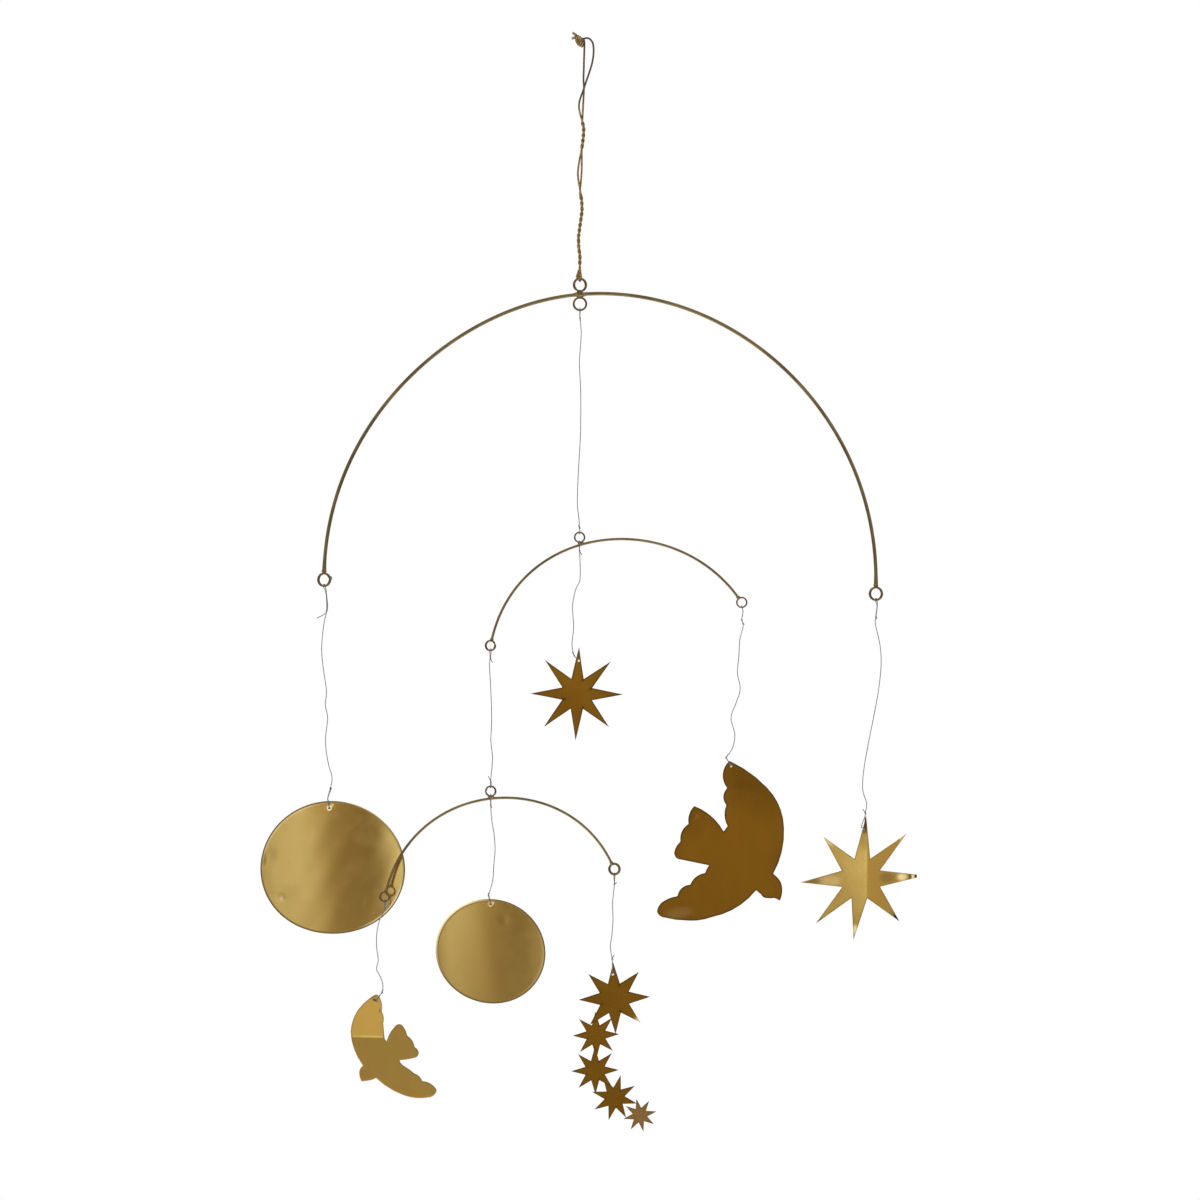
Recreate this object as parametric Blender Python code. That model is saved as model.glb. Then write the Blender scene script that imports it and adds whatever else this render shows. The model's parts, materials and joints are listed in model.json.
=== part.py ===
"""Hanging mobile: brass discs, stars and birds on threads below three bent wire arms.

Frame: metres, +Z up, X across the arms, -Y towards the viewer. The origin is inside the
crown of the hanging cord's loop, where a hook or nail carries the whole mobile.

Sizes below are in millimetres and become metres where geometry is made. A flat outline
is written as (x, z) in its own upright plane, and its origin is the thread hole.
Run it with: blender --background --python part.py
"""

import math

import bmesh
import bpy
from mathutils import Matrix, Vector

MM = 0.001
UP = Vector((0.0, 0.0, 1.0))

# ---- stock -----------------------------------------------------------------------------
GAP = 0.3                  # air between two pieces that meet, filled by solder on the real one
SHEET = 0.4                # brass sheet of the discs, stars and birds
HOLE_RADIUS = 0.7          # thread hole in every pendant
HOLE_SIDES = 8
FOLD_TOLERANCE = 0.0001    # distance at which a corner counts as lying on a fold line
STRAIGHT_TURN = 0.000001   # an arc that turns less than this, in radians, is a straight side
THREAD_RADIUS = 0.2
THREAD_STRAND = 0.35       # half the distance between the two strands at a knot
CORD_RADIUS = 0.5
TOP_WIRE = 1.1             # wire radius of the top arm
SIDE_WIRE = 0.8            # wire radius of the middle and lower arms

# ---- top arm: half an ellipse with hand-bent shoulders ---------------------------------
TOP_CENTRE = Vector((7.75, 0.0, -334.8))
TOP_HALF_SPAN = 171.1
TOP_RISE = 177.6
TOP_LEFT_TURN = 178.4      # degrees round the ellipse from its right end
TOP_RIGHT_TURN = -1.2
TOP_HANG_TURN = 94.16
TOP_SHOULDER_SAG = {"left": 2.7, "right": 1.2}
TOP_SEGMENTS = 30
TOP_RING = (4.5, 0.65, 1.2)   # outer radius, then half the thickness and half the depth of the winding
TOP_RING_TURNS = {"hanging": 20.0, "lower": 6.0, "left": -20.0, "right": -25.0}   # degrees from the arm

# ---- middle and lower arms: one Bezier each, from the hanging ring's centre ------------
MIDDLE_CONTROL = ((-54.2, -63.1), (-37.5, 9.9), (58.4, 19.0), (98.9, -37.0))
MIDDLE_HANG = 0.435        # where the hanging ring stands, as a share of the curve
MIDDLE_PLACE = (-5.1, 0.0, -308.6)
MIDDLE_YAW = 3.0           # degrees the arm has swung round its thread
LOWER_CONTROL = ((-65.2, -59.6), (-47.4, 9.4), (47.4, 15.0), (77.3, -45.6))
LOWER_HANG = 0.495
LOWER_LEVEL = -466.1
LOWER_YAW = 14.0
SIDE_SEGMENTS = 20
SIDE_RING = (3.55, 0.55, 1.05)
MIDDLE_RINGS = {"hanging": SIDE_RING, "left": SIDE_RING, "right": SIDE_RING}
LOWER_RINGS = {"hanging": SIDE_RING, "left": (3.4, 0.55, 1.05), "right": (4.0, 0.55, 1.05)}
MIDDLE_RING_TURNS = {"hanging": 0.0, "left": -21.0, "right": -6.0}
LOWER_RING_TURNS = {"hanging": -22.0, "left": -24.0, "right": -29.0}
RING_SEGMENTS = 16
RING_SIDES = 6

# ---- discs: cut by hand, so the radius wanders a little --------------------------------
LARGE_DISC_HOLE = (-160.1, 0.0, -476.2)
LARGE_DISC_CENTRE = (1.9, -37.1)
LARGE_DISC_RADIUS = 43.2
LARGE_DISC_STRETCH = (2.05, 0.0)     # added at the long axis, and that axis's turn in degrees
LARGE_DISC_LUMP = (0.35, -28.5)      # threefold unevenness and its turn
LARGE_DISC_BOW = 1.05                # the left and right edges go back by this
LARGE_DISC_YAW = -4.0
SMALL_DISC_CENTRE = (-0.3, -28.9)
SMALL_DISC_DROP = 69.9               # its hole below the lower arm's hanging ring
SMALL_DISC_RADIUS = 33.3
SMALL_DISC_STRETCH = (1.1, -13.0)
SMALL_DISC_LUMP = (0.12, -52.0)
SMALL_DISC_BOW = 1.0
SMALL_DISC_YAW = -6.0
DISC_SEGMENTS = 48
DISC_FOLDS = (-0.78, -0.48, -0.18, 0.18, 0.48, 0.78)   # upright fold lines, share of the radius

# ---- stars: rays are (turn clockwise from upright in degrees, length) ------------------
CENTRE_STAR_HOLE = (-5.8, 0.0, -385.0)
CENTRE_STAR_CENTRE = (-0.6, -20.4)
CENTRE_STAR_RAYS = ((2.4, 29.1), (46.2, 28.8), (90.8, 28.5), (136.2, 28.5),
                    (182.0, 28.9), (225.2, 29.2), (270.4, 29.0), (316.5, 29.0))
CENTRE_STAR_INNER = 10.0
CENTRE_STAR_YAW = 3.0
RIGHT_STAR_HOLE = (171.7, 0.0, -489.2)
RIGHT_STAR_CENTRE = (-2.1, -30.7)
RIGHT_STAR_RAYS = ((4.1, 39.0), (45.3, 39.2), (87.6, 34.5), (138.2, 35.1),
                   (186.5, 37.1), (226.7, 39.2), (267.6, 36.5), (317.7, 34.1))
RIGHT_STAR_INNER = 12.8
RIGHT_STAR_YAW = -5.0
RIGHT_STAR_CURLS = (                 # ray, distance at which it starts to bend, lift at its tip
    (2, 24.0, 3.2),
    (3, 27.0, 2.0),
    (4, 28.0, -1.8),
    (1, 30.0, -1.0),
)
RAY_CONE = 0.93                      # cosine of the turn within which a face belongs to a ray
CHAIN_HOLE_DROP = 65.9               # first star's hole below the lower arm's right ring
CHAIN_YAW = 4.0
CHAIN_INNER_SHARE = 0.44
CHAIN_STARS = (                      # centre x, centre z, radius, turn clockwise, layer
    (1.0, -15.0, 22.0, -2.2, 0),
    (-10.5, -37.9, 14.2, -1.0, 1),
    (-11.0, -60.1, 14.5, -0.5, 0),
    (1.2, -77.3, 14.0, 16.5, 1),
    (17.1, -88.5, 10.4, -12.7, 0),
)

# ---- birds: outline corners as (x, z, bulge of the arc to the next corner) -------------
LARGE_BIRD_HOLE = (89.3, 5.2, -450.6)
LARGE_BIRD_YAW = 4.0
LARGE_BIRD_OUTLINE = (
    (-1.0, 3.4, 1.4), (22.6, -13.5, 2.6), (33.1, -38.6, 2.1),                        # leading edge
    (26.3, -67.1, 0.5), (31.2, -72.5, 1.2), (30.4, -83.9, -0.2), (27.1, -82.1, 0.2),  # head and beak
    (21.8, -82.1, 0.6), (18.7, -79.6, 0.2), (15.7, -77.1, 2.9),                      # throat
    (-12.2, -93.7, 0.7),                                                             # lower wing
    (-25.8, -95.8, 0.6), (-43.2, -93.4, 0.5), (-46.3, -90.0, 1.0), (-41.6, -83.3, 0.5),
    (-33.5, -80.6, 2.0), (-25.5, -73.5, 1.7), (-16.2, -66.3, 0.3), (-13.7, -61.5, 0.0),
    (-33.2, -57.4, 0.9), (-35.4, -52.8, 0.6), (-31.6, -46.6, 1.9), (-26.6, -35.8, 1.5),  # tail
    (-23.0, -24.6, 2.2), (-4.6, -40.7, 0.2), (-2.1, -37.3, 1.6), (-2.9, -24.1, 2.2),
    (-2.4, -13.6, 3.5),                                                              # upper wing
)
SMALL_BIRD_HOLE_DROP = 63.2          # its hole below the lower arm's left ring
SMALL_BIRD_SHIFT = -5.2              # and beside that ring
SMALL_BIRD_YAW = -6.5
SMALL_BIRD_OUTLINE = (
    (1.1, 2.9, 0.2), (-1.0, 3.1, 0.6), (-10.7, -5.9, 1.0), (-15.0, -19.0, 1.7),      # leading edge
    (-7.9, -40.2, 0.6), (-10.4, -44.6, 0.4), (-8.9, -50.1, -0.1), (-3.2, -49.1, 0.2),  # head and beak
    (0.0, -47.6, 1.1), (16.8, -57.9, 1.1), (32.0, -58.9, 1.1), (37.1, -54.5, 1.4),   # lower wing
    (28.7, -49.3, 0.9), (24.0, -44.6, 0.2), (17.9, -40.5, -0.5), (14.6, -36.5, 0.3),
    (24.5, -34.2, 0.5), (26.2, -31.2, 0.4), (23.8, -28.2, 1.0), (19.3, -21.3, 0.7),  # tail
    (15.7, -14.6, 0.4), (12.6, -15.3, 0.7), (6.9, -24.9, 0.1), (5.8, -23.5, 0.2),
    (4.6, -14.0, 0.8), (3.4, -6.9, 1.1),                                             # upper wing
)
SMALL_BIRD_FOLD = ((4.0, 0.6), (-22.0, -3.4), (-27.0, -3.5), (-62.0, -0.2))   # height, depth
ARC_STEP = 32.0                      # degrees of turn for each side of an arc in an outline

# ---- hanging cord: one cord doubled through the ring, its strands twisted together -----
TWIST_AXIS = (                       # z and x down the middle of the twisted pair
    (-29.8, -2.2), (-40.3, -4.0), (-49.0, -3.6), (-54.6, -2.3), (-60.1, -2.6), (-65.1, -3.2),
    (-70.1, -4.0), (-81.8, -4.8), (-93.0, -4.6), (-99.8, -3.6), (-106.0, -3.4), (-111.0, -4.1),
    (-115.9, -4.8), (-122.1, -5.6), (-128.3, -5.5), (-133.9, -4.7), (-139.5, -4.8),
)
TWIST_RUNS = (                       # first z, last z, quarter turns, gap between strand centres
    (-29.8, -29.8, 0, 1.4), (-40.3, -40.3, 0, 2.6), (-50.5, -67.5, 10, 1.15),
    (-81.8, -81.8, 0, 2.3), (-93.0, -93.0, 0, 1.3), (-98.0, -139.5, 25, 1.15),
)
QUARTER_TURN = 90.0                  # also the twist from one run to the next
QUARTER_STEPS = 2                    # stations for each quarter turn
LEFT_STRAND = ((-1.9, -4.9), (-2.1, -10.0), (-2.3, -18.5), (-2.5, -25.0))
RIGHT_STRAND = ((-0.6, -25.0), (1.2, -19.8), (3.0, -13.6), (3.8, -7.4), (3.4, -2.3), (1.6, 0.6),
                (-0.4, 1.3), (-2.2, 0.9))
KNOT_START = (-2.4, -3.2)
KNOT_END = (-8.0, 3.3)
KNOT_PROFILE = ((0.0, 0.7), (0.2, 1.9), (0.45, 2.6), (0.7, 2.3), (0.9, 1.5), (1.0, 0.9))   # share, radius
KNOT_SIDES = 10
KNOT_TAILS = (((-7.0, 3.0), (-9.6, 5.1)), ((-6.6, 1.6), (-10.0, 1.2)))

# ---- threads: (x, z) points chosen along each one, between its knot and its pendant ----
MIDDLE_ARM_THREAD = ((-3.9, -181.7), (-4.4, -190.3), (-5.0, -200.9), (-4.2, -219.5), (-4.4, -244.9),
                     (-5.6, -266.6), (-6.3, -286.4), (-5.4, -296.0))
CENTRE_STAR_THREAD = ((-4.5, -327.4), (-4.8, -335.4), (-7.0, -339.8), (-8.6, -346.0), (-9.3, -352.2),
                      (-8.6, -363.9), (-9.6, -373.9), (-9.0, -379.2))
LOWER_ARM_THREAD = ((-60.7, -386.9), (-60.0, -399.3), (-59.5, -411.1), (-59.3, -422.8), (-59.8, -434.0),
                    (-58.8, -445.2))
LARGE_DISC_THREAD = ((-163.6, -363.3), (-164.8, -378.2), (-163.4, -392.5), (-161.8, -403.6),
                     (-162.5, -412.3), (-161.1, -420.4), (-162.4, -432.8), (-161.8, -442.1),
                     (-160.3, -450.1), (-158.3, -458.5))
RIGHT_STAR_THREAD = ((178.6, -362.6), (181.3, -375.1), (182.0, -387.5), (180.4, -403.0), (177.5, -419.1),
                     (173.9, -437.1), (171.2, -453.2), (170.6, -464.6), (173.0, -473.2))
LARGE_BIRD_THREAD = ((96.8, -363.3), (94.7, -372.0), (94.1, -381.9), (93.2, -392.5), (94.9, -402.4),
                     (92.4, -411.1), (89.2, -420.4), (91.6, -430.9), (90.0, -439.5))
SMALL_DISC_THREAD = ((-59.2, -483.6), (-57.8, -492.3), (-57.2, -501.6), (-58.0, -511.5), (-58.7, -521.0))
SMALL_BIRD_THREAD = ((-127.4, -543.5), (-129.2, -552.1), (-129.1, -561.3), (-128.2, -568.1),
                     (-129.3, -573.6), (-127.1, -577.9), (-125.4, -583.0))
STAR_CHAIN_THREAD = ((16.2, -530.7), (15.5, -537.5), (15.9, -546.2), (15.2, -556.8), (14.2, -564.0))
LOOP_TURNS = 4                       # sides of the turn round a ring's winding
TURN_EASE = 0.05                     # slack of a turn beside the winding, on top of the gap
ARM_KNOT_RISE = 3.0                  # an arm's own knot above the wire of its hanging ring
HOLE_TURN = ((1.2, 0.9), (0.35, 0.55))   # thread near a hole: reach to the knot, depth off the sheet
RIM_REACH = 0.2                      # how far past the sheet's rim a thread starts to close in
CURVE_PIECE = 8.0                    # longest straight piece read from a thread's curve
CORD_PIECE = 4.5
WIRE_DETAIL = 2                      # bevel resolution of the arms
YARN_DETAIL = 1                      # and of the threads and the cord


# ---- scene and materials ---------------------------------------------------------------


def clear_scene():
    """Remove every object, so that the script starts from nothing."""
    for item in list(bpy.data.objects):
        bpy.data.objects.remove(item, do_unlink=True)


def make_material(name, colour, roughness, metallic):
    """Principled material with plain values."""
    material = bpy.data.materials.new(name)
    material.use_nodes = True
    shader = material.node_tree.nodes["Principled BSDF"]
    shader.inputs["Base Color"].default_value = (*colour, 1.0)
    shader.inputs["Roughness"].default_value = roughness
    shader.inputs["Metallic"].default_value = metallic
    return material


def add_object(name, data, finish, parent=None):
    """Link a mesh or curve as an object with its own material, under an optional empty."""
    colour, roughness, metallic = finish
    item = bpy.data.objects.new(name, data)
    data.materials.append(make_material(name + "_material", colour, roughness, metallic))
    bpy.context.scene.collection.objects.link(item)
    item.parent = parent
    return item


ARM_BRASS = ((0.42, 0.29, 0.11), 0.3, 1.0)
RING_BRONZE = ((0.33, 0.27, 0.19), 0.4, 1.0)
DISC_BRASS = ((0.72, 0.54, 0.24), 0.25, 1.0)
DARK_SHEET = ((0.45, 0.30, 0.08), 0.35, 1.0)
BRIGHT_SHEET = ((0.70, 0.52, 0.22), 0.25, 1.0)
NYLON_GREY = ((0.72, 0.71, 0.68), 0.5, 0.0)
GOLD_CORD = ((0.50, 0.38, 0.14), 0.45, 0.3)


# ---- curves ----------------------------------------------------------------------------


def bezier_point(control, share):
    """Point of an arm's Bezier curve and its unit tangent, both as (x, 0, z) vectors."""
    knots = [Vector((x, 0.0, z)) for x, z in control]
    rest = 1.0 - share
    weights = (rest ** 3, 3 * rest ** 2 * share, 3 * rest * share ** 2, share ** 3)
    point = sum((knot * weight for knot, weight in zip(knots, weights)), Vector())
    slopes = (3 * rest ** 2, 6 * rest * share, 3 * share ** 2)
    tangent = sum(((knots[i + 1] - knots[i]) * slopes[i] for i in range(3)), Vector())
    return point, tangent.normalized()


def top_arm_point(turn):
    """Point of the top arm at a turn in degrees, from its right end over the crown."""
    angle = math.radians(turn)
    sag = TOP_SHOULDER_SAG["left" if turn > 90.0 else "right"]
    across = TOP_HALF_SPAN * math.cos(angle)
    rise = TOP_RISE * math.sin(angle) - sag * math.sin(2.0 * angle) ** 2
    return TOP_CENTRE + Vector((across, 0.0, rise))


def smooth_route(route, piece):
    """Catmull-Rom curve through route's points, read in straight pieces up to piece long."""
    padded = [2 * route[0] - route[1], *route, 2 * route[-1] - route[-2]]
    points = []
    for before, start, end, after in zip(padded, padded[1:], padded[2:], padded[3:]):
        steps = max(1, round((end - start).length / piece))
        for step in range(steps):
            share = step / steps
            line = 2 * start + (end - before) * share
            bend = (2 * before - 5 * start + 4 * end - after) * share ** 2
            twist = (3 * start - before - 3 * end + after) * share ** 3
            points.append((line + bend + twist) / 2)
    points.append(route[-1])
    return points


def add_tube(name, points, radius, detail, finish, parent=None):
    """Round wire, thread or cord along points, with filled ends."""
    curve = bpy.data.curves.new(name, "CURVE")
    curve.dimensions = "3D"
    curve.bevel_depth = radius * MM
    curve.bevel_resolution = detail
    curve.use_fill_caps = True
    spline = curve.splines.new("POLY")
    spline.points.add(len(points) - 1)
    for knot, point in zip(spline.points, points):
        knot.co = (*(point * MM), 1.0)
    return add_object(name, curve, finish, parent)


# ---- hangers: the upright lines that pieces hang on ------------------------------------


class Hanger:
    """An empty on an upright line, turned by yaw, that carries an arm or a pendant."""

    def __init__(self, name, place, yaw):
        """Place the empty at place (millimetres) and turn it by yaw degrees about +Z."""
        self.place = Vector(place)
        self.turn = Matrix.Rotation(math.radians(yaw), 3, "Z")
        self.empty = bpy.data.objects.new(name, None)
        self.empty.location = self.place * MM
        self.empty.rotation_euler = (0.0, 0.0, math.radians(yaw))
        bpy.context.scene.collection.objects.link(self.empty)

    def world(self, point):
        """A local point, in millimetres, in the mobile's own frame."""
        return self.place + self.turn @ point

    @property
    def across(self):
        """Unit vector through the arm or sheet, from its front to its back."""
        return self.turn @ Vector((0.0, 1.0, 0.0))


# ---- arms and rings --------------------------------------------------------------------


class Ring:
    """A ring of an arm, wound from two turns of wire, and the way a thread goes round it."""

    def __init__(self, name, hanger, centre, size, turn):
        """Add the ring at centre in the hanger's frame, upright and turned from its arm's plane."""
        outer, wire, depth = size
        self.wire = wire
        self.depth = depth
        self.major = outer - wire
        self.centre = hanger.world(centre)
        self.across = Matrix.Rotation(math.radians(turn), 3, "Z") @ hanger.across
        bpy.ops.mesh.primitive_torus_add(major_segments=RING_SEGMENTS, minor_segments=RING_SIDES,
                                         major_radius=self.major * MM, minor_radius=wire * MM)
        item = bpy.context.active_object
        item.name = name
        item.data.name = name
        item.data.materials.append(make_material(name + "_material", *RING_BRONZE))
        item.data.transform(Matrix.Diagonal((1.0, 1.0, depth / wire, 1.0)))
        item.data.shade_smooth()
        item.rotation_euler = (math.pi / 2, 0.0, math.radians(turn))
        item.location = centre * MM
        item.parent = hanger.empty

    @property
    def foot(self):
        """Middle of the winding at the ring's lowest place."""
        return self.centre - UP * self.major

    @property
    def top(self):
        """Middle of the winding at the ring's highest place."""
        return self.centre + UP * self.major

    def turn_size(self, radius):
        """Half the width and the height of a thread's or cord's turn, from its own radius."""
        clearance = GAP + radius
        return self.depth + clearance + TURN_EASE, self.wire + clearance


def beside_wire(point, tangent, distance):
    """Point at distance from an arm's wire, on its upper side."""
    normal = Vector((-tangent.z, 0.0, tangent.x))
    if normal.z < 0.0:
        normal.negate()
    return point + normal * distance


def build_top_arm():
    """Top arm with a ring above and below its crown, and one at each end."""
    hanger = Hanger("top_arm_hanger", (0.0, 0.0, 0.0), 0.0)
    sweep = TOP_RIGHT_TURN - TOP_LEFT_TURN
    points = [top_arm_point(TOP_LEFT_TURN + sweep * i / TOP_SEGMENTS) for i in range(TOP_SEGMENTS + 1)]
    add_tube("top_arm", points, TOP_WIRE, WIRE_DETAIL, ARM_BRASS, hanger.empty)
    crown = top_arm_point(TOP_HANG_TURN)
    reach = UP * (TOP_WIRE + GAP + TOP_RING[0])
    end_reach = UP * (GAP + TOP_RING[0])
    centres = {
        "hanging": crown + reach,
        "lower": crown - reach,
        "left": points[0] - end_reach,
        "right": points[-1] - end_reach,
    }
    return {
        side: Ring("top_arm_" + side + "_ring", hanger, centre, TOP_RING, TOP_RING_TURNS[side])
        for side, centre in centres.items()
    }


def build_side_arm(name, place, yaw, control, hang, sizes, turns):
    """A smaller arm: its wire, the ring it hangs by and a ring at each end."""
    hanger = Hanger(name + "_hanger", place, yaw)
    points = [bezier_point(control, i / SIDE_SEGMENTS)[0] for i in range(SIDE_SEGMENTS + 1)]
    add_tube(name, points, SIDE_WIRE, WIRE_DETAIL, ARM_BRASS, hanger.empty)
    top = beside_wire(*bezier_point(control, hang), SIDE_WIRE + GAP + sizes["hanging"][0])
    left_end, left_way = bezier_point(control, 0.0)
    right_end, right_way = bezier_point(control, 1.0)
    left = left_end - left_way * (GAP + sizes["left"][0])
    right = right_end + right_way * (GAP + sizes["right"][0])
    centres = {"hanging": top, "left": left, "right": right}
    return {
        side: Ring(name + "_" + side + "_ring", hanger, centre, sizes[side], turns[side])
        for side, centre in centres.items()
    }


# ---- flat pendants ---------------------------------------------------------------------


def arc_outline(corners):
    """Outline through (x, z, bulge) corners, where bulge is an arc's outward rise."""
    area = sum(a[0] * b[1] - b[0] * a[1] for a, b in zip(corners, corners[1:] + corners[:1]))
    side = 1.0 if area > 0.0 else -1.0
    outline = []
    for start, end in zip(corners, corners[1:] + corners[:1]):
        chord = Vector(end[:2]) - Vector(start[:2])
        outward = Vector((chord.y, -chord.x)).normalized() * side
        turn = 4.0 * math.atan2(2.0 * start[2], chord.length)
        steps = max(1, math.ceil(abs(math.degrees(turn)) / ARC_STEP))
        for step in range(steps):
            along = step / steps
            rise = arc_rise(along, chord.length, turn)
            outline.append(Vector(start[:2]) + chord * along + outward * rise)
    return outline


def arc_rise(along, chord, turn):
    """Height of a circular arc over its chord, at a share along the chord."""
    if abs(turn) < STRAIGHT_TURN:
        return 0.0
    radius = chord / (2.0 * math.sin(abs(turn) / 2.0))
    offset = (along - 0.5) * chord
    rise = math.sqrt(radius ** 2 - offset ** 2) - radius * math.cos(turn / 2.0)
    return math.copysign(rise, turn)


def star_outline(centre, rays, inner):
    """Outline of a star from its rays' turns and lengths, with notches at the inner radius."""
    outline = []
    for (turn, length), (next_turn, _) in zip(rays, rays[1:] + rays[:1]):
        half = ((next_turn - turn) % 360.0) / 2.0
        for angle, radius in ((turn, length), (turn + half, inner)):
            heading = math.radians(angle)
            outline.append(Vector(centre) + Vector((math.sin(heading), math.cos(heading))) * radius)
    return outline


def even_rays(length, turn):
    """Eight rays of one length, the first turned clockwise by turn degrees."""
    return tuple((turn + 45.0 * i, length) for i in range(8))


def disc_outline(centre, radius, stretch, lump):
    """Hand-cut disc: a circle with a slightly longer axis and a threefold unevenness."""
    outline = []
    for i in range(DISC_SEGMENTS):
        angle = 2.0 * math.pi * i / DISC_SEGMENTS
        reach = radius + stretch[0] * math.cos(2.0 * (angle - math.radians(stretch[1])))
        reach += lump[0] * math.cos(3.0 * (angle - math.radians(lump[1])))
        outline.append(Vector(centre) + Vector((math.cos(angle), math.sin(angle))) * reach)
    return outline


def hole_outline():
    """Thread hole round a pendant's origin."""
    turns = [2.0 * math.pi * (i + 0.5) / HOLE_SIDES for i in range(HOLE_SIDES)]
    return [Vector((math.cos(a), math.sin(a))) * HOLE_RADIUS for a in turns]


def flat_shape(outline, with_hole):
    """Flat mesh in the XZ plane (millimetres) inside outline, with the thread hole cut out."""
    shape = bmesh.new()
    loops = [outline, hole_outline()] if with_hole else [outline]
    for loop in loops:
        corners = [shape.verts.new((x, 0.0, z)) for x, z in loop]
        for start, end in zip(corners, corners[1:] + corners[:1]):
            shape.edges.new((start, end))
    bmesh.ops.triangle_fill(shape, edges=shape.edges[:], use_beauty=True, normal=(0.0, -1.0, 0.0))
    return shape


def fold_line(shape, point, normal, faces=None):
    """Cut a straight line across shape, where it will fold, through the given faces or all."""
    chosen = shape.faces[:] if faces is None else faces
    parts = set(chosen)
    for face in chosen:
        parts.update(face.edges)
        parts.update(face.verts)
    bmesh.ops.bisect_plane(shape, geom=list(parts), plane_co=point, plane_no=normal, dist=FOLD_TOLERANCE)


def along_line(stations, value):
    """Value read from straight pieces between (place, height) stations in falling order of place."""
    for (high, start), (low, end) in zip(stations, stations[1:]):
        if value >= low:
            break
    return start + (end - start) * (high - value) / (high - low)


def add_sheet(name, shape, finish, parent):
    """Thicken a shape to the sheet's gauge and add it as a pendant."""
    bmesh.ops.triangulate(shape, faces=shape.faces[:])
    bmesh.ops.recalc_face_normals(shape, faces=shape.faces[:])
    bmesh.ops.scale(shape, vec=(MM, MM, MM), verts=shape.verts[:])
    mesh = bpy.data.meshes.new(name)
    shape.to_mesh(mesh)
    shape.free()
    item = add_object(name, mesh, finish, parent)
    gauge = item.modifiers.new("gauge", "SOLIDIFY")
    gauge.thickness = SHEET * MM
    gauge.offset = 0.0
    return item


def build_disc(name, place, yaw, centre, radius, stretch, lump, bow):
    """A bowed disc with its thread hole at the hanger."""
    hanger = Hanger(name + "_hanger", place, yaw)
    shape = flat_shape(disc_outline(centre, radius, stretch, lump), True)
    folds = [centre[0] + share * radius for share in DISC_FOLDS]
    for fold in folds:
        fold_line(shape, (fold, 0.0, 0.0), (1.0, 0.0, 0.0))
    edge = radius + stretch[0]
    ends = [centre[0] - edge, *folds, centre[0] + edge]
    stations = [(x, bow * ((x - centre[0]) / edge) ** 2) for x in reversed(ends)]
    for corner in shape.verts:
        corner.co.y = along_line(stations, corner.co.x)
    add_sheet(name, shape, DISC_BRASS, hanger.empty)
    return hanger


def build_centre_star():
    """Flat eight-pointed star under the middle arm."""
    hanger = Hanger("centre_star_hanger", CENTRE_STAR_HOLE, CENTRE_STAR_YAW)
    shape = flat_shape(star_outline(CENTRE_STAR_CENTRE, CENTRE_STAR_RAYS, CENTRE_STAR_INNER), True)
    add_sheet("centre_star", shape, DARK_SHEET, hanger.empty)
    return hanger


def ray_faces(shape, centre, heading):
    """Faces of a star that belong to the ray in one heading."""
    ways = [((face.calc_center_median() - centre).normalized(), face) for face in shape.faces]
    return [face for way, face in ways if way @ heading > RAY_CONE]


def build_right_star():
    """Bright star whose ray tips have been bent out of its plane."""
    hanger = Hanger("right_star_hanger", RIGHT_STAR_HOLE, RIGHT_STAR_YAW)
    shape = flat_shape(star_outline(RIGHT_STAR_CENTRE, RIGHT_STAR_RAYS, RIGHT_STAR_INNER), True)
    centre = Vector((RIGHT_STAR_CENTRE[0], 0.0, RIGHT_STAR_CENTRE[1]))
    for ray, start, lift in RIGHT_STAR_CURLS:
        turn, length = RIGHT_STAR_RAYS[ray]
        heading = Vector((math.sin(math.radians(turn)), 0.0, math.cos(math.radians(turn))))
        for cut in (start, (start + length) / 2.0):
            fold_line(shape, centre + heading * cut, heading, ray_faces(shape, centre, heading))
        for corner in shape.verts:
            reach = (corner.co - centre) @ heading
            beside = abs((corner.co - centre).cross(heading).y)
            if reach > start and beside < length - start:
                corner.co.y = lift * ((reach - start) / (length - start)) ** 2
    add_sheet("right_star", shape, BRIGHT_SHEET, hanger.empty)
    return hanger


def build_star_chain(place):
    """Five stars soldered ray over ray; every second one lies a sheet behind the others."""
    hanger = Hanger("star_chain_hanger", place, CHAIN_YAW)
    for number, (x, z, radius, turn, layer) in enumerate(CHAIN_STARS, start=1):
        outline = star_outline((x, z), even_rays(radius, turn), radius * CHAIN_INNER_SHARE)
        shape = flat_shape(outline, number == 1)
        star = add_sheet("chain_star_" + str(number), shape, DARK_SHEET, hanger.empty)
        star.location.y = layer * (SHEET + GAP) * MM
    return hanger


def build_large_bird():
    """Flat bird with scalloped wings and tail, flying to the lower right."""
    hanger = Hanger("large_bird_hanger", LARGE_BIRD_HOLE, LARGE_BIRD_YAW)
    add_sheet("large_bird", flat_shape(arc_outline(LARGE_BIRD_OUTLINE), True), DARK_SHEET, hanger.empty)
    return hanger


def build_small_bird(place):
    """Smaller bird flying to the lower left, folded across the root of its upper wing."""
    hanger = Hanger("small_bird_hanger", place, SMALL_BIRD_YAW)
    shape = flat_shape(arc_outline(SMALL_BIRD_OUTLINE), True)
    for height, _ in SMALL_BIRD_FOLD[1:-1]:
        fold_line(shape, (0.0, 0.0, height), UP)
    for corner in shape.verts:
        corner.co.y = along_line(SMALL_BIRD_FOLD, corner.co.z)
    add_sheet("small_bird", shape, BRIGHT_SHEET, hanger.empty)
    return hanger


# ---- threads ---------------------------------------------------------------------------


def half_turn(middle, size, side, way):
    """Points of half an ellipse round middle, from side, over way, to the other side."""
    half_width, height = size
    turns = [math.pi * step / LOOP_TURNS for step in range(LOOP_TURNS + 1)]
    return [middle + side * math.cos(a) * half_width + way * math.sin(a) * height for a in turns]


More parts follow.
